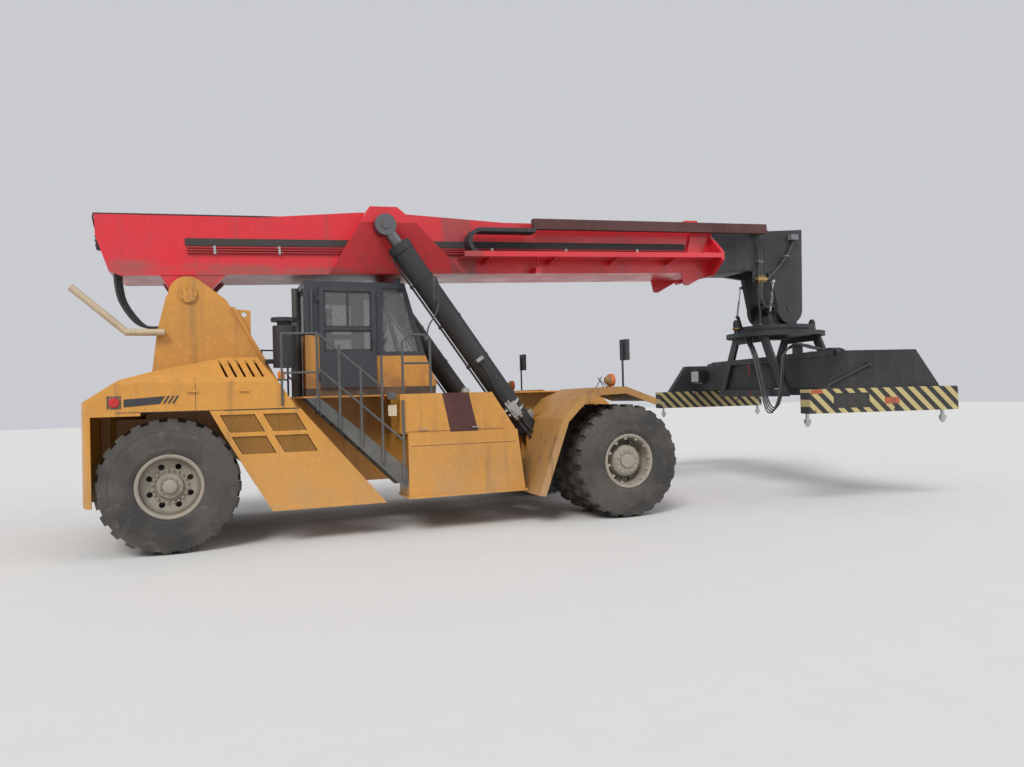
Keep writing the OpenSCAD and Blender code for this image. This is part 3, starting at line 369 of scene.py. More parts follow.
class Shape:
    """A mesh that grows from boxes, prisms, rods, turned rings and pipes."""

    def __init__(self):
        self.mesh = bmesh.new()

    def box(self, x0, x1, y0, y1, z0, z1):
        at = Matrix.Translation(((x0 + x1) / 2, (y0 + y1) / 2, (z0 + z1) / 2))
        size = Matrix.Diagonal((x1 - x0, y1 - y0, z1 - z0, 1))
        bmesh.ops.create_cube(self.mesh, size=1, matrix=at @ size)
        return self

    def bars(self, x0, x1, y0, y1, z0, z1, width):
        """Four bars round an upright rectangle."""
        for a, b in ((z0, z0 + width), (z1 - width, z1)):
            self.box(x0, x1, y0, y1, a, b)
        for a, b in ((x0, x0 + width), (x1 - width, x1)):
            self.box(a, b, y0, y1, z0, z1)
        return self

    def prism(self, outline, y0, y1):
        """An outline in X and Z, as a plate from y0 to y1."""
        return self.loft([[(x, y, z) for x, z in outline] for y in (y0, y1)])

    def loft(self, rings, closed=False):
        """A skin over rings of points, with end faces or closed to a torus."""
        rings = [[self.mesh.verts.new(p) for p in ring] for ring in rings]
        n = len(rings[0])
        pairs = list(zip(rings, rings[1:])) + ([(rings[-1], rings[0])] if closed else [])
        for a, b in pairs:
            for i in range(n):
                self.mesh.faces.new((a[i], a[(i + 1) % n], b[(i + 1) % n], b[i]))
        if not closed:
            self.mesh.faces.new(rings[0][::-1])
            self.mesh.faces.new(rings[-1])
        return self

    def turned(self, outline, centre, axis, steps=32):
        """An outline of radius and distance along an axis, turned round it."""
        axis = Vector(axis).normalized()
        side = axis.orthogonal().normalized()
        other = axis.cross(side)
        centre = Vector(centre)
        rings = []
        for i in range(steps):
            a = 2 * math.pi * i / steps
            out = side * math.cos(a) + other * math.sin(a)
            rings.append([centre + axis * d + out * r for r, d in outline])
        return self.loft(rings, closed=True)

    def rod(self, p, q, r, steps=16):
        """A round bar with a small chamfer at both ends."""
        p, q = Vector(p), Vector(q)
        length = (q - p).length
        small = min(r, length) * 0.12
        core = 1e-4
        outline = [
            (core, 0), (r - small, 0), (r, small),
            (r, length - small), (r - small, length), (core, length),
        ]
        return self.turned(outline, p, q - p, steps)

    def ring(self, centre, axis, radius, thick, steps=40):
        angles = [math.pi * i / 4 for i in range(8)]
        outline = [(radius + thick * math.cos(a), thick * math.sin(a)) for a in angles]
        return self.turned(outline, centre, axis, steps)

    def pipe(self, points, r, sides=10):
        """A tube of round cross section along the points."""
        points = [Vector(p) for p in points]
        heading = (points[1] - points[0]).normalized()
        side = heading.orthogonal().normalized()
        turn = [2 * math.pi * k / sides for k in range(sides)]
        rings = []
        for i, p in enumerate(points):
            ahead = points[min(i + 1, len(points) - 1)] - points[max(i - 1, 0)]
            ahead.normalize()
            side = (side - ahead * side.dot(ahead)).normalized()
            other = ahead.cross(side)
            rings.append([p + (side * math.cos(a) + other * math.sin(a)) * r for a in turn])
        return self.loft(rings)

    def bolts(self, centre, axis, radius, count, r=0.014, height=0.02, start=0.0):
        """Hexagonal heads on a circle. start is the first one's angle."""
        axis = Vector(axis).normalized()
        side = axis.orthogonal().normalized()
        other = axis.cross(side)
        for i in range(count):
            a = start + 2 * math.pi * i / count
            p = Vector(centre) + (side * math.cos(a) + other * math.sin(a)) * radius
            self.rod(p, p + axis * height, r, 6)
        return self

    def done(self, name, look, body, at=REST, bevel=0.0, smooth=30):
        """Makes the object, which rides on a body unless that is None."""
        bmesh.ops.transform(self.mesh, matrix=TO_ROW @ at, verts=self.mesh.verts)
        bmesh.ops.recalc_face_normals(self.mesh, faces=self.mesh.faces)
        data = bpy.data.meshes.new(name)
        self.mesh.to_mesh(data)
        self.mesh.free()
        data.materials.append(LOOKS[look].mat)
        piece = link(name, data)
        if bevel:
            made = piece.modifiers.new("bevel", "BEVEL")
            made.width = bevel
            made.segments = 2
            made.limit_method = "ANGLE"
        data.shade_smooth()
        data.set_sharp_from_angle(angle=math.radians(smooth))
        if body:
            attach(piece, body)
        return piece


def flat_ring(inner, outer, low, high):
    """The outline of a band for Shape.turned."""
    return [(inner, low), (outer, low), (outer, high), (inner, high)]


def smooth_path(points, steps=6):
    """A Catmull-Rom curve through the points."""
    points = [Vector(p) for p in points]
    ends = [points[0] * 2 - points[1], *points, points[-1] * 2 - points[-2]]
    path = []
    for a, b, c, d in zip(ends, ends[1:], ends[2:], ends[3:]):
        for i in range(steps):
            t = i / steps
            square = (a * 2 - b * 5 + c * 4 - d) * t * t
            cube = (b * 3 - a - c * 3 + d) * t ** 3
            path.append(0.5 * (b * 2 + (c - a) * t + square + cube))
    return path + [points[-1]]


HOSE_PARTS = 36


def hose(name, points, r, body, look="hose", at=REST, bend=None):
    """A hose along a smooth curve.

    bend, when given, leaves the hose on no body, with its place baked into its mesh; the body and
    points in it are not used.
    """
    path = smooth_path(points, max(2, HOSE_PARTS // len(points)))
    piece = Shape().pipe(path, r).done(name, look, None if bend else body, at, smooth=60)
    if bend:
        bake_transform(piece)
    return piece


# Wheels

def dress_wheels():
    """Rim flanges, wheel nuts and hub caps."""
    flange = [(0.345, -0.012), (0.372, -0.006), (0.385, 0.010), (0.372, 0.016), (0.350, 0.010)]
    rim_half = 0.210
    rear_middle, rear_disc, rear_hub = 1.390, 1.480, 1.541
    front_middle, front_nuts, front_cap = 1.825, 1.985, 1.975
    front_face = front_middle - 0.02
    for side, at in SIDES.items():
        piece = Shape().turned(flange, (0, rear_middle + rim_half, 0), Y_AXIS, 64)
        piece.bolts((0, rear_disc, 0), Y_AXIS, 0.196, 20, 0.016, 0.035)
        piece.bolts((0, rear_hub, 0), Y_AXIS, 0.105, 10, 0.012, 0.02)
        cap = [(1e-3, 0), (0.085, 0), (0.08, 0.045), (0.05, 0.06), (1e-3, 0.06)]
        piece.turned(cap, (0, rear_hub, 0), Y_AXIS, 32)
        seat = [(0.300, 0), (0.330, 0), (0.334, 0.02), (0.304, 0.03)]
        piece.turned(seat, (0, rear_disc, 0), Y_AXIS, 48)
        rear = at @ Matrix.Translation((0, 0, WHEEL_HEIGHT))
        piece.done(f"rear_hub_trim_{side}", "rim", f"rear_wheel_{side}", rear)

        piece = Shape().turned(flange, (0, front_middle + rim_half, 0), Y_AXIS, 64)
        barrel = [(0.322, 0), (0.340, 0.0), (0.344, 0.215), (0.334, 0.215)]
        piece.turned(barrel, (0, front_face, 0), Y_AXIS, 64)
        piece.bolts((0, front_face, 0), Y_AXIS, 0.262, 24, 0.015, 0.04)
        piece.bolts((0, front_nuts, 0), Y_AXIS, 0.148, 12, 0.013, 0.022)
        for i in range(12):
            a = math.radians(30 * i + 8)
            spot = Vector((0.325 * math.cos(a), 2.018, 0.325 * math.sin(a)))
            piece.rod(spot, spot + Vector((0, 0.028, 0)), 0.022, 8)
        cap = [(1e-3, 0), (0.104, 0), (0.1, 0.03), (1e-3, 0.036)]
        piece.turned(cap, (0, front_cap, 0), Y_AXIS, 32)
        front = at @ Matrix.Translation((WHEELBASE, 0, WHEEL_HEIGHT))
        piece.done(f"front_hub_trim_{side}", "rim", f"front_wheels_{side}", front)


# Body

def dress_tail(side, at):
    """The tail lamp, and on the right the badge strip without lettering."""
    lamp = (-0.57, TAIL_SIDE, 1.82)
    rim = [(0.0582, -0.012), (0.068, -0.012), (0.068, 0.004), (0.0582, 0.01)]
    ring = Shape().turned(rim, lamp, Y_AXIS, 40)
    ring.bars(-0.645, -0.495, 1.636, 1.651, 1.745, 1.895, 0.006)
    ring.done(f"tail_lamp_ring_{side}", "dark", "chassis", at)
    dome = [(1e-3, 0.0083), (0.057, 0.0083), (0.053, 0.016), (0.03, 0.021), (1e-3, 0.022)]
    Shape().turned(dome, lamp, Y_AXIS, 40).done(f"tail_lamp_{side}", "lamp_red", "chassis", at)
    if side == "right":
        low, high = TAIL_SIDE + 0.001, TAIL_SIDE + 0.006
        strip = [(-0.47, 1.765), (-0.085, 1.795), (-0.03, 1.885), (-0.47, 1.855)]
        badge = Shape().prism(strip, low, high)
        badge.done("badge_strip_right", "plastic", "chassis", at, bevel=0.002)
        bars = Shape()
        for x in (-0.055, -0.005, 0.045):
            bar = [(x, 1.797), (x + 0.022, 1.799), (x + 0.077, 1.889), (x + 0.055, 1.887)]
            bars.prism(bar, low, high + 0.001)
        bars.done("badge_bars_right", "plastic", "chassis", at)


def dress_panels(side, at):
    """Dark sheets behind the grilles as painted shade of the hood's inside, hood handles and panel
    seams, and on the right the blank plate.
    """
    if side == "right":
        plate = Shape().box(2.61, 2.72, TANK_SIDE - 0.0005, TANK_SIDE + 0.006, 1.56, 1.70)
        plate.bolts((2.665, TANK_SIDE + 0.006, 1.63), Y_AXIS, 0.07, 4, 0.005, 0.004, 0.9)
        plate.done("blank_plate_right", "beige", "chassis", at)
    # dark sheets set behind the grille openings paint the shade inside the hood
    core = Shape()
    lean = 0.55 * 0.22
    for x, z in ((0.69, 1.42), (1.19, 1.42), (0.82, 1.15), (1.32, 1.15)):
        back, front, low, high = x - 0.01, x + 0.41, z - 0.01, z + 0.23
        opening = [(back, low), (front, low), (front - lean, high), (back - lean, high)]
        core.prism(opening, 1.572, 1.585)
    core.done(f"grille_shade_sheets_{side}", "dark_fill_and_shade", "chassis", at)
    trim = Shape()
    z = 1.935
    for x in (0.80, 0.22):
        for foot in (x, x + 0.09):
            trim.rod((foot, TAIL_SIDE + 0.001, z), (foot, TAIL_SIDE + 0.018, z), 0.012, 12)
        trim.box(x - 0.012, x + 0.102, TAIL_SIDE + 0.014, TAIL_SIDE + 0.026, z - 0.012, z + 0.012)
    trim.done(f"hood_handles_{side}", "yellow", "chassis", at, bevel=0.003)
    seams = Shape()
    for face, x0, x1, z0, z1 in (
        (TAIL_SIDE, -0.55, 1.46, 1.696, 1.704),
        (TAIL_SIDE, 0.62, 1.50, 1.690, 1.698),
        (TAIL_SIDE, 0.30, 0.306, 1.71, 2.03),
        (SILL_SIDE, 2.90, 4.37, 1.150, 1.156),
        (TANK_SIDE, 2.80, 4.20, 1.337, 1.343),
        (TANK_SIDE, 3.55, 3.556, 1.345, 1.83),
    ):
        seams.box(x0, x1, face - 0.0005, face + 0.0012, z0, z1)
    seams.done(f"panel_seams_{side}", "dark_fill_and_shade", "chassis", at)


def dress_tank(side, at):
    """Handles, filler cap, switch box, bare brown stripe and reflector of the tank."""
    tank = Shape()
    z, near, far = 1.374, TANK_SIDE + 0.001, TANK_SIDE + 0.025
    for x in (3.06, 3.80):
        for foot in (x - 0.05, x + 0.05):
            tank.rod((foot, near, z), (foot, far, z), 0.007, 10)
        tank.rod((x - 0.056, far, z), (x + 0.056, far, z), 0.007, 10)
    tank.rod((3.75, 1.5, 1.841), (3.75, 1.5, 1.885), 0.06, 24)
    tank.rod((3.75, 1.5, 1.885), (3.75, 1.5, 1.905), 0.045, 24)
    tank.done(f"tank_fittings_{side}", "zinc", "chassis", at)
    box = Shape().box(2.60, 2.71, 1.741, 1.80, 1.775, 1.87).box(2.62, 2.69, 1.80, 1.807, 1.79, 1.85)
    box.done(f"switch_box_{side}", "dark", "chassis", at, bevel=0.006)
    corners = [(3.339, 1.8395), (3.714, 1.8395), (3.836, 1.3205), (3.446, 1.3205)]
    stripe = Shape().prism(corners, TANK_SIDE + 0.0002, TANK_SIDE + 0.0009)
    stripe.done(f"tank_stripe_{side}", "brown", "chassis", at)
    mark = Shape().box(2.545, 2.565, 1.7415, 1.744, 1.76, 1.86)
    mark.done(f"reflector_{side}", "lamp_red", "chassis", at, bevel=0.002)


def dress_body():
    for side, at in SIDES.items():
        dress_tail(side, at)
        dress_panels(side, at)
        dress_tank(side, at)


def dress_fenders():
    """Head lamps with their brackets, and the faces of the mirrors on the mudguards."""
    lamp = (5.79, 1.9, 1.965)
    rim = [(0.0805, -0.004), (0.0885, 0.0), (0.0905, 0.058), (0.0865, 0.060), (0.0805, 0.056)]
    dome = [(1e-3, 0.060), (0.05, 0.057), (0.0695, 0.050), (0.0695, 0.0463), (1e-3, 0.0463)]
    for side, at in SIDES.items():
        ring = Shape().turned(rim, lamp, X_AXIS, 40)
        ring.done(f"head_lamp_rim_{side}", "orange", "chassis", at)
        lens = Shape().turned(dome, lamp, X_AXIS, 40)
        lens.done(f"head_lens_{side}", "lamp_clear", "chassis", at)
        bracket = Shape().rod((5.60, 1.86, 1.86), (5.66, 1.92, 2.02), 0.006, 8)
        bracket.rod((5.74, 1.92, 1.87), (5.62, 1.88, 2.0), 0.006, 8)
        bracket.rod((5.62, 1.9, 2.0), (5.70, 1.9, 1.86), 0.006, 8)
        bracket.done(f"lamp_bracket_{side}", "dark", "chassis", at)
        face = Shape().box(6.0905, 6.094, 1.825, 1.975, 2.27, 2.53)
        face.done(f"mirror_face_{side}", "mirror", "chassis", at, bevel=0.01)


def dress_hoop():
    """The mirror on its bent tube at the front of each stair's hoop."""
    y = 1.60
    bent = [
        (3.20, y, 2.60), (3.205, y, 2.68), (3.24, y, 2.78), (3.31, y, 2.88),
        (3.352, y, 2.98), (3.362, y, 3.10), (3.362, y, 3.22), (3.362, y, 3.34),
    ]
    oval = []
    for k in range(32):
        a = math.pi * k / 16
        u, v = (math.copysign(abs(c) ** 0.5, c) for c in (math.cos(a), math.sin(a)))
        oval.append((0.085 * u, 0.19 * v))
    for side, at in SIDES.items():
        tube = Shape().pipe(smooth_path(bent, 5), 0.012, 10)
        tube.box(3.165, 3.215, 1.575, 1.625, 2.56, 2.61)
        for z in (3.13, 3.28):
            tube.box(3.33, 3.376, 1.583, 1.617, z, z + 0.02)
        tube.done(f"hoop_mirror_arm_{side}", "dark", "chassis", at, bevel=0.003)
        facing = Matrix.Rotation(math.radians(30), 4, "Z")
        turned = at @ Matrix.Translation((3.335, y, 3.23)) @ facing
        shell = Shape().loft([
            [Vector((x, u * k, v * k)) for u, v in oval]
            for x, k in ((-0.022, 0.97), (-0.012, 1.0), (0.004, 0.98), (0.018, 0.80))
        ])
        shell.done(f"hoop_mirror_{side}", "plastic", "chassis", turned, smooth=40)
        pane = Shape().loft([
            [Vector((x, u * 0.9, v * 0.94)) for u, v in oval] for x in (-0.0232, -0.0221)
        ])
        pane.done(f"hoop_mirror_pane_{side}", "mirror", "chassis", turned)


# Cab

def cushion(name, low, high, radius, crown, seams):
    """A rounded, crowned pad with sewn channels across its top."""
    mesh = bmesh.new()
    bmesh.ops.create_cube(mesh, size=2)
    bmesh.ops.subdivide_edges(mesh, edges=mesh.edges, cuts=14, use_grid_fill=True)
    middle = [(a + b) / 2 for a, b in zip(low, high)]
    half = [(b - a) / 2 for a, b in zip(low, high)]
    for v in mesh.verts:
        u = v.co.copy()
        p = Vector([u[i] * half[i] for i in range(3)])
        inner = Vector([max(-half[i] + radius, min(half[i] - radius, p[i])) for i in range(3)])
        d = p - inner
        if d.length > 1e-9:
            p = inner + d.normalized() * radius
        bulge = (1 - u[0] ** 2) * (1 - u[1] ** 2)
        top = max(0.0, u[2])
        groove = sum(math.exp(-((u[1] - s) / 0.05) ** 2) for s in seams)
        p.z += top * (crown * bulge - 0.012 * groove)
        v.co = p + Vector(middle)
    data = bpy.data.meshes.new(name)
    mesh.to_mesh(data)
    mesh.free()
    return data


def leaned(place, angle):
    """The place of a pad that stands on its edge, leaned by an angle and turned to the front."""
    lean = Matrix.Rotation(math.radians(angle), 4, "Y")
    return Matrix.Translation(place) @ lean @ Matrix.Rotation(math.pi, 4, "Z")


def dress_seat():
    """Three pads in place of the plain seat, and the seat's base."""
    flat = Matrix.Translation((2.37, 0, 2.265))
    back, head = leaned((2.135, 0, 2.64), 81), leaned((2.095, 0, 3.045), 84)
    for name, low, high, at, seams in (
        ("seat_cushion", (-0.25, -0.25, -0.065), (0.25, 0.25, 0.055), flat, (-0.55, 0.55)),
        ("seat_back", (-0.33, -0.24, -0.055), (0.31, 0.24, 0.05), back, (-0.55, 0.55)),
        ("head_rest", (-0.085, -0.14, -0.04), (0.085, 0.14, 0.035), head, ()),
    ):
        data = cushion(name, low, high, 0.045, 0.02, seams)
        data.transform(TO_ROW @ at)
        data.shade_smooth()
        data.materials.append(LOOKS["seat"].mat)
        piece = link(name, data)
        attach(piece, "chassis")
        if name == "seat_cushion":
            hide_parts("seat")
    base = Shape().box(2.2, 2.46, -0.16, 0.16, 1.892, 1.93)
    for i in range(5):
        inset, z = 0.004 * i, 1.935 + 0.045 * i
        base.box(2.22 + inset, 2.44 - inset, -0.15, 0.15, z, z + 0.03)
    base.rod((2.33, 0, 1.90), (2.33, 0, 2.19), 0.08, 24)
    base.done("seat_base", "plastic", "chassis", bevel=0.008)


def dress_cab():
    """Roof lenses, beacon, wiper, door seals and grab rails."""
    lens = Shape()
    for y in (-0.62, 0.62):
        pane = [(3.0725, 3.462), (3.0775, 3.461), (3.0885, 3.512), (3.0835, 3.513)]
        lens.prism(pane, y - 0.05, y + 0.05)
    lens.done("roof_lenses", "lamp_clear", "chassis", bevel=0.002)
    place = (1.35, -1.06, 2.08)
    wall = [(0.0425, 0.02), (0.046, 0.024), (0.046, 0.085), (0.0425, 0.09)]
    cap = [(1e-3, 0.0955), (0.036, 0.0955), (0.030, 0.108), (1e-3, 0.112)]
    beacon = Shape().turned(wall, place, Z_AXIS, 32).turned(cap, place, Z_AXIS, 32)
    beacon.done("beacon_lens", "lamp_amber", "chassis")
    wiper = Shape().rod((3.375, 0.10, 2.45), (3.20, -0.05, 3.10), 0.010, 8)
    wiper.rod((3.300, -0.06, 2.74), (3.135, -0.04, 3.30), 0.012, 8)
    wiper.rod((3.375, 0.10, 2.44), (3.355, 0.10, 2.44), 0.03, 16)
    wiper.done("wiper", "plastic", "chassis")
    for side, at in SIDES.items():
        seal = Shape()
        for z0, z1 in ((2.47, 2.76), (2.80, 3.31)):
            seal.bars(1.965, 2.625, 0.7305, 0.738, z0, z1, 0.022)
        seal.box(2.28, 2.31, 0.7305, 0.742, 2.80, 3.31)
        seal.done(f"door_seal_{side}", "plastic", f"cab_door_{side}", at, bevel=0.003)
        rail = Shape().rod((1.80, 0.74, 2.70), (1.80, 0.74, 3.32), 0.014, 12)
        for z in (2.72, 3.30):
            rail.rod((1.80, 0.70, z), (1.80, 0.74, z), 0.012, 10)
        rail.done(f"cab_grab_rail_{side}", "dark", "chassis", at)


# Boom

def dress_boom():
    """Bands with pipes and clamps, pivot caps, lifting eyes, rear port, cable and rear hoses."""
    face, skin = 0.5, 0.5005
    for side, at in SIDES.items():
        band = Shape().box(0.0, 7.92, skin, face + 0.012, 0.665, 0.765)
        band.done(f"boom_band_{side}", "dark_fill_and_shade", "outer_boom", BOOM @ at, bevel=0.003)
        pipes = Shape()
        for z in (0.640, 0.605, 0.570):
            pipes.rod((0.02, face + 0.026, z), (7.90, face + 0.026, z), 0.013, 10)
        pipes.done(f"boom_pipes_{side}", "pipe_red", "outer_boom", BOOM @ at)
        clamps = Shape()
        for x in (0.35, 1.19, 4.35, 5.62, 6.94):
            clamps.box(x, x + 0.03, skin, face + 0.045, 0.548, 0.662)
            clamps.bolts((x + 0.015, face + 0.045, 0.605), Y_AXIS, 0.045, 2, 0.007, 0.01, 1.57)
        clamps.done(f"pipe_clamps_{side}", "zinc", "outer_boom", BOOM @ at, bevel=0.004)
        x, _, z = PIVOT
        pin = Shape().rod((x, 0.621, z), (x, 0.632, z), 0.11, 40)
        pin.bolts((x, 0.632, z), Y_AXIS, 0.085, 6, 0.012, 0.012)
        pin.done(f"pivot_cap_{side}", "yellow", "chassis", at)
    top = 1.068
    eyes = Shape()
    for x in (-0.9, 0.4, 1.0, 4.9, 6.6, 7.6):
        eyes.box(x, x + 0.16, -0.05, 0.05, top + 0.0005, top + 0.012)
        eyes.ring((x + 0.08, 0, top + 0.035), X_AXIS, 0.03, 0.008, 20)
    eyes.done("lifting_eyes", "red", "outer_boom", BOOM)
    port = [(1e-3, -0.05), (0.11, -0.05), (0.12, -0.03), (0.12, 0.0), (1e-3, 0.0)]
    rear = Shape().turned(port, (-1.0605, 0.10, 0.82), X_AXIS, 36)
    rear.bolts((-1.1105, 0.10, 0.82), (-1, 0, 0), 0.09, 8, 0.01, 0.01)
    rear.done("boom_rear_port", "plastic", "outer_boom", BOOM)
    cable = smooth_path([
        (-1.06, -0.30, 0.86), (-1.075, -0.42, 0.98), (-1.06, -0.47, 1.07),
        (-0.9, -0.48, 1.079), (0.6, -0.485, 1.08), (2.3, -0.485, 1.08),
    ], 8)
    Shape().pipe(cable, 0.010, 8).done("boom_top_cable", "hose", "outer_boom", BOOM)
    for i, y in enumerate((-0.46, -0.40, -0.34)):
        d = 0.03 * i
        points = [
            (-0.64 + d, y, 3.50), (-0.635 + d, y, 3.36), (-0.58 + d, y, 3.12),
            (-0.40 + d, y, 2.86), (-0.18, y, 2.80), (0.02, y, 2.86),
        ]
        bend = ("outer_boom", (-0.06, y, 2.82), (-0.62, y, 3.38))
        hose(f"boom_rear_hose_{i + 1}", points, 0.019, "chassis", bend=bend)


def dress_chain():
    """Link plates along the energy chain's runs and bend."""
    links = Shape()
    low, r, pitch, start, thick = 0.5003, 0.21, 0.075, 4.1, 0.004
    gap, height = 0.006, 0.048
    for run, z in ((6.9 - start, low + gap), (0.9, low + 2 * r - gap - height)):
        for i in range(int(run / pitch)):
            x = start + i * pitch
            links.box(x + gap, x + pitch - gap, -thick, 0, z, z + height)
    middle = r - 0.03
    turns = int(math.pi * middle / pitch)
    for i in range(turns):
        a = math.pi / 2 + math.pi * (i + 0.5) / turns
        mid = (start + middle * math.cos(a), low + r + middle * math.sin(a))
        u = (-math.sin(a) * (pitch / 2 - 0.008), math.cos(a) * (pitch / 2 - 0.008))
        v = (math.cos(a) * height / 2, math.sin(a) * height / 2)
        corners = ((-1, -1), (1, -1), (1, 1), (-1, 1))
        outline = [(mid[0] + p * u[0] + q * v[0], mid[1] + p * u[1] + q * v[1]) for p, q in corners]
        links.prism(outline, -thick, 0)
    links.done("chain_links", "plastic", "outer_boom", BOOM @ Matrix.Translation((0, -0.83, 0)))


# Lift cylinders

CYLINDER_LINE = (0, 1.0, 0)
BARREL = 0.1602


def dress_cylinders():
    """Collars, line and valve on each barrel."""
    for side, at in SIDES.items():
        body, place = f"cylinder_{side}", CYLINDER @ at
        collar = Shape()
        for low, high, out in ((3.30, 3.415, 0.174), (0.16, 0.225, 0.172)):
            outline = [(BARREL, low), (out, low + 0.005), (out, high - 0.005), (BARREL, high)]
            collar.turned(outline, CYLINDER_LINE, Z_AXIS, 40)
        collar.done(f"barrel_collars_{side}", "black", body, place)
        pipe = smooth_path([
            (-0.165, 1.0, 0.30), (-0.195, 1.0, 0.36), (-0.195, 1.0, 0.60),
            (-0.195, 1.0, 2.9), (-0.195, 1.0, 3.2), (-0.165, 1.0, 3.30),
        ], 6)
        line = Shape().pipe(pipe, 0.016, 10)
        for z in (0.7, 1.4, 2.1, 2.8):
            line.turned(flat_ring(BARREL, 0.168, z, z + 0.04), CYLINDER_LINE, Z_AXIS, 36)
            line.box(-0.215, -0.165, 0.975, 1.025, z, z + 0.04)
        line.done(f"barrel_pipe_{side}", "black", body, place)
        block = Shape().box(0.10, 0.22, 0.94, 1.06, 0.24, 0.36)
        block.rod((0.16, 0.94, 0.30), (0.16, 0.90, 0.30), 0.03, 16)
        block.done(f"barrel_valve_{side}", "zinc", body, place, bevel=0.006)


def dress_cylinder_feet():
    """Fittings at each lift cylinder's foot, and the hoses that show on the right."""
    for side, at in SIDES.items():
        body, place = f"cylinder_{side}", CYLINDER @ at
        valve = Shape().box(-0.125, 0.018, 1.150, 1.232, 0.44, 0.66)
        for x in (-0.11, -0.06):
            valve.rod((x, 1.20, 0.66), (x, 1.20, 0.71), 0.022, 6)
        for x, y in ((-0.088, 1.1630), (-0.020, 1.1840)):
            valve.rod((x, y, 0.44), (x, y, 0.385), 0.033, 6)
        valve.rod((-0.135, 1.20, 0.52), (-0.175, 1.20, 0.52), 0.02, 6)
        valve.rod((-0.135, 1.20, 0.60), (-0.19, 1.20, 0.61), 0.018, 6)
        valve.rod((-0.08, 1.235, 0.55), (-0.08, 1.262, 0.55), 0.03, 6)
        valve.rod((-0.08, 1.235, 0.49), (-0.08, 1.255, 0.49), 0.018, 6)
        for z in (0.47, 0.59):
            valve.turned(flat_ring(BARREL, 0.166, z, z + 0.04), CYLINDER_LINE, Z_AXIS, 40)
        valve.done(f"foot_valve_{side}", "zinc", body, place, bevel=0.004)
        clamp = Shape().box(-0.10, 0.02, 1.155, 1.215, 1.42, 1.47)
        for x in (-0.08, 0.0):
            clamp.rod((x, 1.215, 1.445), (x, 1.235, 1.445), 0.014, 6)
        clamp.done(f"foot_clamp_{side}", "zinc", body, place, bevel=0.004)
        if side == "left":
            continue
        run = [
            (-0.055, 1.185, 1.47), (-0.056, 1.185, 1.38), (-0.06, 1.188, 1.26),
            (-0.075, 1.192, 1.12), (-0.10, 1.196, 0.98), (-0.113, 1.20, 0.86),
            (-0.112, 1.20, 0.77), (-0.11, 1.20, 0.71),
        ]
        hose("barrel_hose_right", run, 0.014, body, "hose", place)
        upper = [
            (4.7110, 1.1840, 1.4626), (4.7370, 1.1840, 1.4259), (4.7720, 1.1900, 1.3764),
            (4.8060, 1.2050, 1.3285), (4.8390, 1.2150, 1.2819), (4.8690, 1.2180, 1.2396),
        ]
        lower = [
            (4.6580, 1.1630, 1.4251), (4.6870, 1.1630, 1.3842), (4.7240, 1.1730, 1.3320),
            (4.7640, 1.1980, 1.2755), (4.8050, 1.2140, 1.2176), (4.8420, 1.2180, 1.1653),
        ]
        for i, points in enumerate((upper, lower)):
            bend = (body, points[-2], points[1])
            hose(f"foot_hose_right_{i + 1}", points, 0.022, "chassis", "hose", at, bend=bend)


# Attachment

def dress_spreader():
    """Centre marks, flanges of the slewing motors and the control box's lid."""
    for side, at in (("near", MIRROR), ("far", REST)):
        mark = Shape()
        for z0, z1 in ((2.05, 2.24), (1.665, 1.75)):
            for y0, y1 in ((-0.035, -0.012), (0.012, 0.035)):
                mark.box(-0.5425, -0.5405, y0, y1, z0, z1)
        mark.done(f"centre_mark_{side}", "lamp_red", "slewing", RING @ at)
    motors = Shape()
    for x in (-0.772, 0.772):
        flange = [(0.0605, 0.08), (0.075, 0.085), (0.075, 0.105), (0.0605, 0.11)]
        motors.turned(flange, (x, 0, 2.819), Z_AXIS, 32)
        motors.bolts((x, 0, 2.924), Z_AXIS, 0.068, 8, 0.006, 0.008)
        motors.rod((x, 0.055, 3.0), (x, 0.09, 3.0), 0.018, 12)
    motors.done("slew_motor_flanges", "brass", "slewing", RING)
    box = Shape().box(-0.652, -0.6405, 2.08, 2.45, 1.965, 2.185)
    for y in (2.14, 2.265, 2.39):
        box.rod((-0.56, y, 1.9495), (-0.56, y, 1.92), 0.018, 16)
    box.bolts((-0.652, 2.265, 2.075), (-1, 0, 0), 0.15, 4, 0.008, 0.006, 0.6)
    box.done("control_box_lid", "zinc", "main_beam", RING, bevel=0.004)


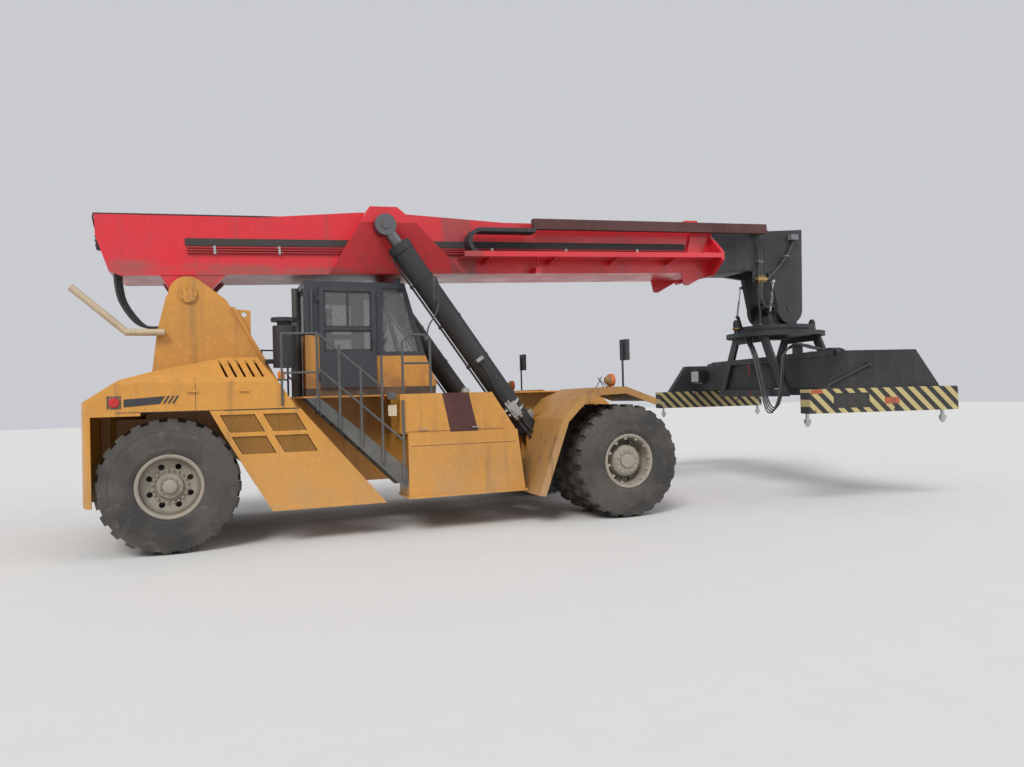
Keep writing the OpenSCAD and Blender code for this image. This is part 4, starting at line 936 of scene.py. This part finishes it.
def dress_end_beams():
    """Marks and pocket on each end beam's outer face, and the gusset's brace and top rail."""
    face = -3.1605
    for side, turn in (("right", 0), ("left", math.pi)):
        at = RING @ Matrix.Rotation(turn, 4, "Z")
        body = f"telescope_{side}"
        mark = Shape().box(-1.205, -1.015, face - 0.003, face, 1.690, 1.754)
        mark.box(-0.01, 0.23, face - 0.003, face, 1.515, 1.610)
        mark.done(f"end_marker_{side}", "worn_orange", body, at, bevel=0.001)
        pocket = Shape().box(-0.82, -0.285, face - 0.002, face, 1.49, 1.675)
        pocket.done(f"end_pocket_{side}", "dark_fill_and_shade", body, at)
        rim = Shape()
        for x0, x1, z0, z1 in (
            (-0.84, -0.265, 1.675, 1.690), (-0.84, -0.265, 1.475, 1.49),
            (-0.84, -0.82, 1.49, 1.675), (-0.285, -0.265, 1.49, 1.675),
        ):
            rim.box(x0, x1, face - 0.006, face, z0, z1)
        rim.bolts((-0.5525, face - 0.002, 1.5825), (0, -1, 0), 0.075, 4, 0.011, 0.005, 0.78)
        rim.done(f"pocket_rim_{side}", "black", body, at)
        brace = Shape().rod((-0.93, -3.142, 1.80), (-0.23, -3.142, 2.11), 0.020, 12)
        for x0, x1, z0, z1 in ((-0.98, -0.88, 1.757, 1.80), (-0.27, -0.19, 2.08, 2.14)):
            brace.box(x0, x1, -3.155, -3.1205, z0, z1)
        brace.done(f"gusset_brace_{side}", "black", body, at, bevel=0.003)
        y, top = -3.02, 2.3185
        edge = [(-0.50, y, top + 0.001), (-0.49, y, top), (-0.2, y, top), (0.50, y, top)]
        rail = Shape().pipe(smooth_path(edge, 3), 0.0012, 6)
        rail.done(f"gusset_edge_{side}", "steel", body, at)


def dress_beam_hoses():
    """Hose duct and saddles on the main beam, the hose loops to it and the control box's cable."""
    top = 2.2605
    duct = Shape().box(-0.46, -0.24, -2.57, -0.98, top, 2.365)
    duct.box(-0.46, -0.24, 0.98, 2.03, top, 2.335)
    for y, lid in ((-1.5, 2.371), (-1.95, 2.371), (-2.4, 2.371), (1.3, 2.341), (1.7, 2.341)):
        duct.box(-0.466, -0.234, y, y + 0.03, top, lid)
    duct.done("hose_duct", "black", "main_beam", RING, bevel=0.006)
    saddle = Shape().box(-0.445, -0.255, -1.39, -1.37, 2.365, 2.520)
    saddle.box(-0.455, -0.245, -2.45, -2.41, 2.365, 2.40)
    saddle.box(-0.45, -0.25, -1.395, -1.365, 2.50, 2.545)
    saddle.done("hose_saddles", "black", "main_beam", RING, bevel=0.004)
    bend = ("main_beam", (-0.6, -0.66, 2.0), (-0.6, -1.26, 2.0))
    for i, look in enumerate(("hose", "hose_grey", "hose", "hose_grey")):
        x, d, over = -0.578 - 0.03 * i, 0.028 * i, -0.43 + 0.045 * i
        points = [
            (x, -0.17, 2.739), (x, -0.19, 2.66), (x, -0.30, 2.53), (x, -0.45, 2.30),
            (x, -0.59, 1.98), (x, -0.70, 1.68), (x, -0.83, 1.49 - d), (x, -0.98, 1.44 - d),
            (x, -1.13, 1.51 - d), (x, -1.25 - d, 1.74), (x, -1.31 - d, 2.04),
            (x + 0.03, -1.30 - d, 2.30), ((x + over) / 2 + 0.02, -1.285, 2.455),
            (over, -1.38, 2.513), (over, -1.60, 2.500), (over, -1.90, 2.430), (over, -2.25, 2.382),
            (over, -2.53, 2.3785), (over, -2.64, 2.335), (over, -2.68, 2.262),
        ]
        hose(f"slewing_hose_{i + 1}", points, 0.0125, "slewing", look, RING, bend=bend)
    for i, x in enumerate((-0.40, -0.34)):
        pipe = smooth_path([(x, y, 2.350) for y in (0.99, 1.3, 1.7, 1.95)], 4)
        Shape().pipe(pipe, 0.011, 8).done(f"far_beam_pipe_{i + 1}", "hose_grey", "main_beam", RING)
    cable = [
        (-0.535, 2.30, 1.9495), (-0.537, 2.295, 1.90), (-0.54, 2.295, 1.81), (-0.545, 2.31, 1.72),
        (-0.545, 2.36, 1.655), (-0.545, 2.44, 1.645), (-0.54, 2.505, 1.70), (-0.53, 2.52, 1.79),
        (-0.52, 2.52, 1.90), (-0.515, 2.52, 2.03), (-0.514, 2.52, 2.15), (-0.505, 2.52, 2.235),
        (-0.455, 2.52, 2.283),
    ]
    hose("control_box_cable", cable, 0.009, "main_beam", "hose", RING)


def dress_head_hoses():
    """Valve block, hoses, sleeve and loop at the boom's head."""
    outline = [(9.60, 3.70), (9.88, 3.70), (9.90, 3.97), (9.60, 3.99)]
    bracket = Shape().prism(outline, -0.446, -0.4305)
    bracket.bolts((9.75, -0.446, 3.92), (0, -1, 0), 0.10, 4, 0.012, 0.012, 0.4)
    bracket.done("manifold_bracket", "black", "inner_boom", bevel=0.003)
    y = -0.484
    block = Shape().box(9.665, 9.865, -0.518, -0.446, 3.730, 3.785)
    for x in (9.70, 9.745, 9.79, 9.835):
        block.rod((x, y, 3.785), (x, y, 3.820), 0.019, 6)
        block.rod((x, y, 3.730), (x, y, 3.695), 0.019, 6)
    block.rod((9.865, y, 3.76), (9.905, y, 3.765), 0.019, 6)
    block.rod((9.665, y, 3.76), (9.63, y, 3.755), 0.017, 6)
    block.done("hose_manifold", "brass", "inner_boom", bevel=0.003)
    feet = Shape()
    bend = ("tilt_hanger", (9.7, -0.4, 3.66), (9.7, -0.4, 3.26))
    for i, (x, y) in enumerate(((9.85, -0.31), (9.90, -0.24))):
        feet.box(x - 0.025, x + 0.025, y - 0.025, y + 0.025, 2.9405, 2.950)
        feet.rod((x, y, 2.950), (x, y, 2.968), 0.018, 6)
        start = 9.70 + 0.045 * i
        points = [
            (start - 0.02, -0.490, 4.550), (start - 0.02, -0.490, 4.46),
            (start + 0.02, -0.488, 4.28), (start + 0.025, -0.486, 4.07),
            (start + 0.01, -0.485, 3.90), (start, -0.484, 3.76), (start, -0.482, 3.66),
            (start + 0.005, -0.465, 3.54), (start + 0.03, -0.435, 3.41),
            (start + 0.07, y - 0.085, 3.29), (x - 0.03, y - 0.045, 3.175),
            (x - 0.005, y - 0.012, 3.06), (x, y, 2.967),
        ]
        hose(f"hanger_hose_{i + 1}", points, 0.011, "inner_boom", "hose_grey", bend=bend)
    feet.done("hanger_fittings", "brass", "tilt_hanger", bevel=0.003)
    clamp = Shape().box(9.69, 9.80, -0.502, -0.431, 4.06, 4.085)
    clamp.box(10.44, 10.60, -0.525, -0.431, 4.50, 4.60)
    clamp.box(10.30, 10.40, -0.515, -0.431, 4.185, 4.21)
    clamp.done("head_hose_clamps", "iron", "inner_boom", bevel=0.004)
    sleeve = [
        (10.52, -0.475, 4.505), (10.505, -0.475, 4.43), (10.455, -0.475, 4.33),
        (10.39, -0.475, 4.235), (10.31, -0.475, 4.14), (10.235, -0.475, 4.06),
    ]
    hose("head_sleeve", sleeve, 0.027, "inner_boom", "sleeve")
    inside = [
        (10.235, -0.475, 4.06), (10.18, -0.475, 4.0), (10.11, -0.476, 3.935), (10.02, -0.478, 3.87),
        (9.96, -0.481, 3.815), (9.93, -0.483, 3.785), (9.903, -0.484, 3.765),
    ]
    hose("head_sleeve_hose", inside, 0.012, "inner_boom", "hose_grey")
    loop = [
        (9.79, -0.456, 3.893), (9.79, -0.472, 3.83), (9.785, -0.486, 3.74),
        (9.765, -0.492, 3.60), (9.755, -0.496, 3.45), (9.775, -0.500, 3.335),
        (9.835, -0.502, 3.262), (9.915, -0.502, 3.262), (9.975, -0.501, 3.335),
        (9.995, -0.499, 3.45), (9.985, -0.496, 3.60), (9.965, -0.482, 3.75),
        (9.955, -0.458, 3.862),
    ]
    bend = ("tilt_hanger", (9.8, -0.4, 3.68), (9.8, -0.4, 3.2))
    hose("head_loop", loop, 0.010, "inner_boom", "hose_grey", bend=bend)


def dress_dampers():
    """Dampers that stretch between the boom's head and the hanger, with their eyes and feet."""
    y = 0.461
    head, middle, end = (10.045, y, 3.727), (10.00, y, 3.47), (9.945, y, 3.165)
    for side, at in SIDES.items():
        damper = Shape().rod(head, middle, 0.011, 12).rod(middle, end, 0.019, 12)
        piece = damper.done(f"damper_{side}", "steel", None, at)
        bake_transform(piece)
        eye = Shape().rod((10.045, 0.4308, 3.727), (10.045, 0.482, 3.727), 0.028, 16)
        eye.done(f"damper_eye_{side}", "zinc", "inner_boom", at)
        outline = [(9.945, 2.9405), (10.06, 2.9405), (9.978, 3.185), (9.915, 3.185)]
        foot = Shape().prism(outline, 0.4335, 0.4435)
        foot.rod((9.945, 0.4435, 3.165), (9.945, 0.484, 3.165), 0.024, 16)
        foot.done(f"damper_foot_{side}", "black", "tilt_hanger", at)


# Stage and light

def stage_floor():
    mesh = bmesh.new()
    bmesh.ops.create_grid(mesh, x_segments=1, y_segments=1, size=60)
    data = bpy.data.meshes.new("floor")
    mesh.to_mesh(data)
    mesh.free()
    look = plain("floor_look", (0.62, 0.61, 0.59), 0.8, scale=2, mottle=0.06)
    data.materials.append(look.mat)
    link("floor", data)


def light():
    """A bright even sky, a soft key from the rear right and a weak fill from the front right."""
    world = bpy.data.worlds.new("studio")
    world.use_nodes = True
    back = world.node_tree.nodes["Background"]
    back.inputs["Color"].default_value = (0.93, 0.95, 1.0, 1)
    back.inputs["Strength"].default_value = 0.63
    bpy.context.scene.world = world
    for name, energy, angle, turn in (
        ("key", 2.3, 25, (48, 0, -38)),
        ("fill", 0.7, 60, (62, 0, 50)),
    ):
        data = bpy.data.lights.new(name, "SUN")
        data.energy = energy
        data.angle = math.radians(angle)
        lamp = link(name, data)
        lamp.rotation_euler = [math.radians(a) for a in turn]
    bpy.context.scene.view_settings.view_transform = "Standard"


place_camera()
light()
stage_floor()
dress_nodes()
dress_wheels()
dress_body()
dress_fenders()
dress_hoop()
dress_seat()
dress_cab()
dress_boom()
dress_chain()
dress_cylinders()
dress_spreader()
dress_end_beams()
dress_beam_hoses()
dress_head_hoses()
dress_dampers()
dress_cylinder_feet()
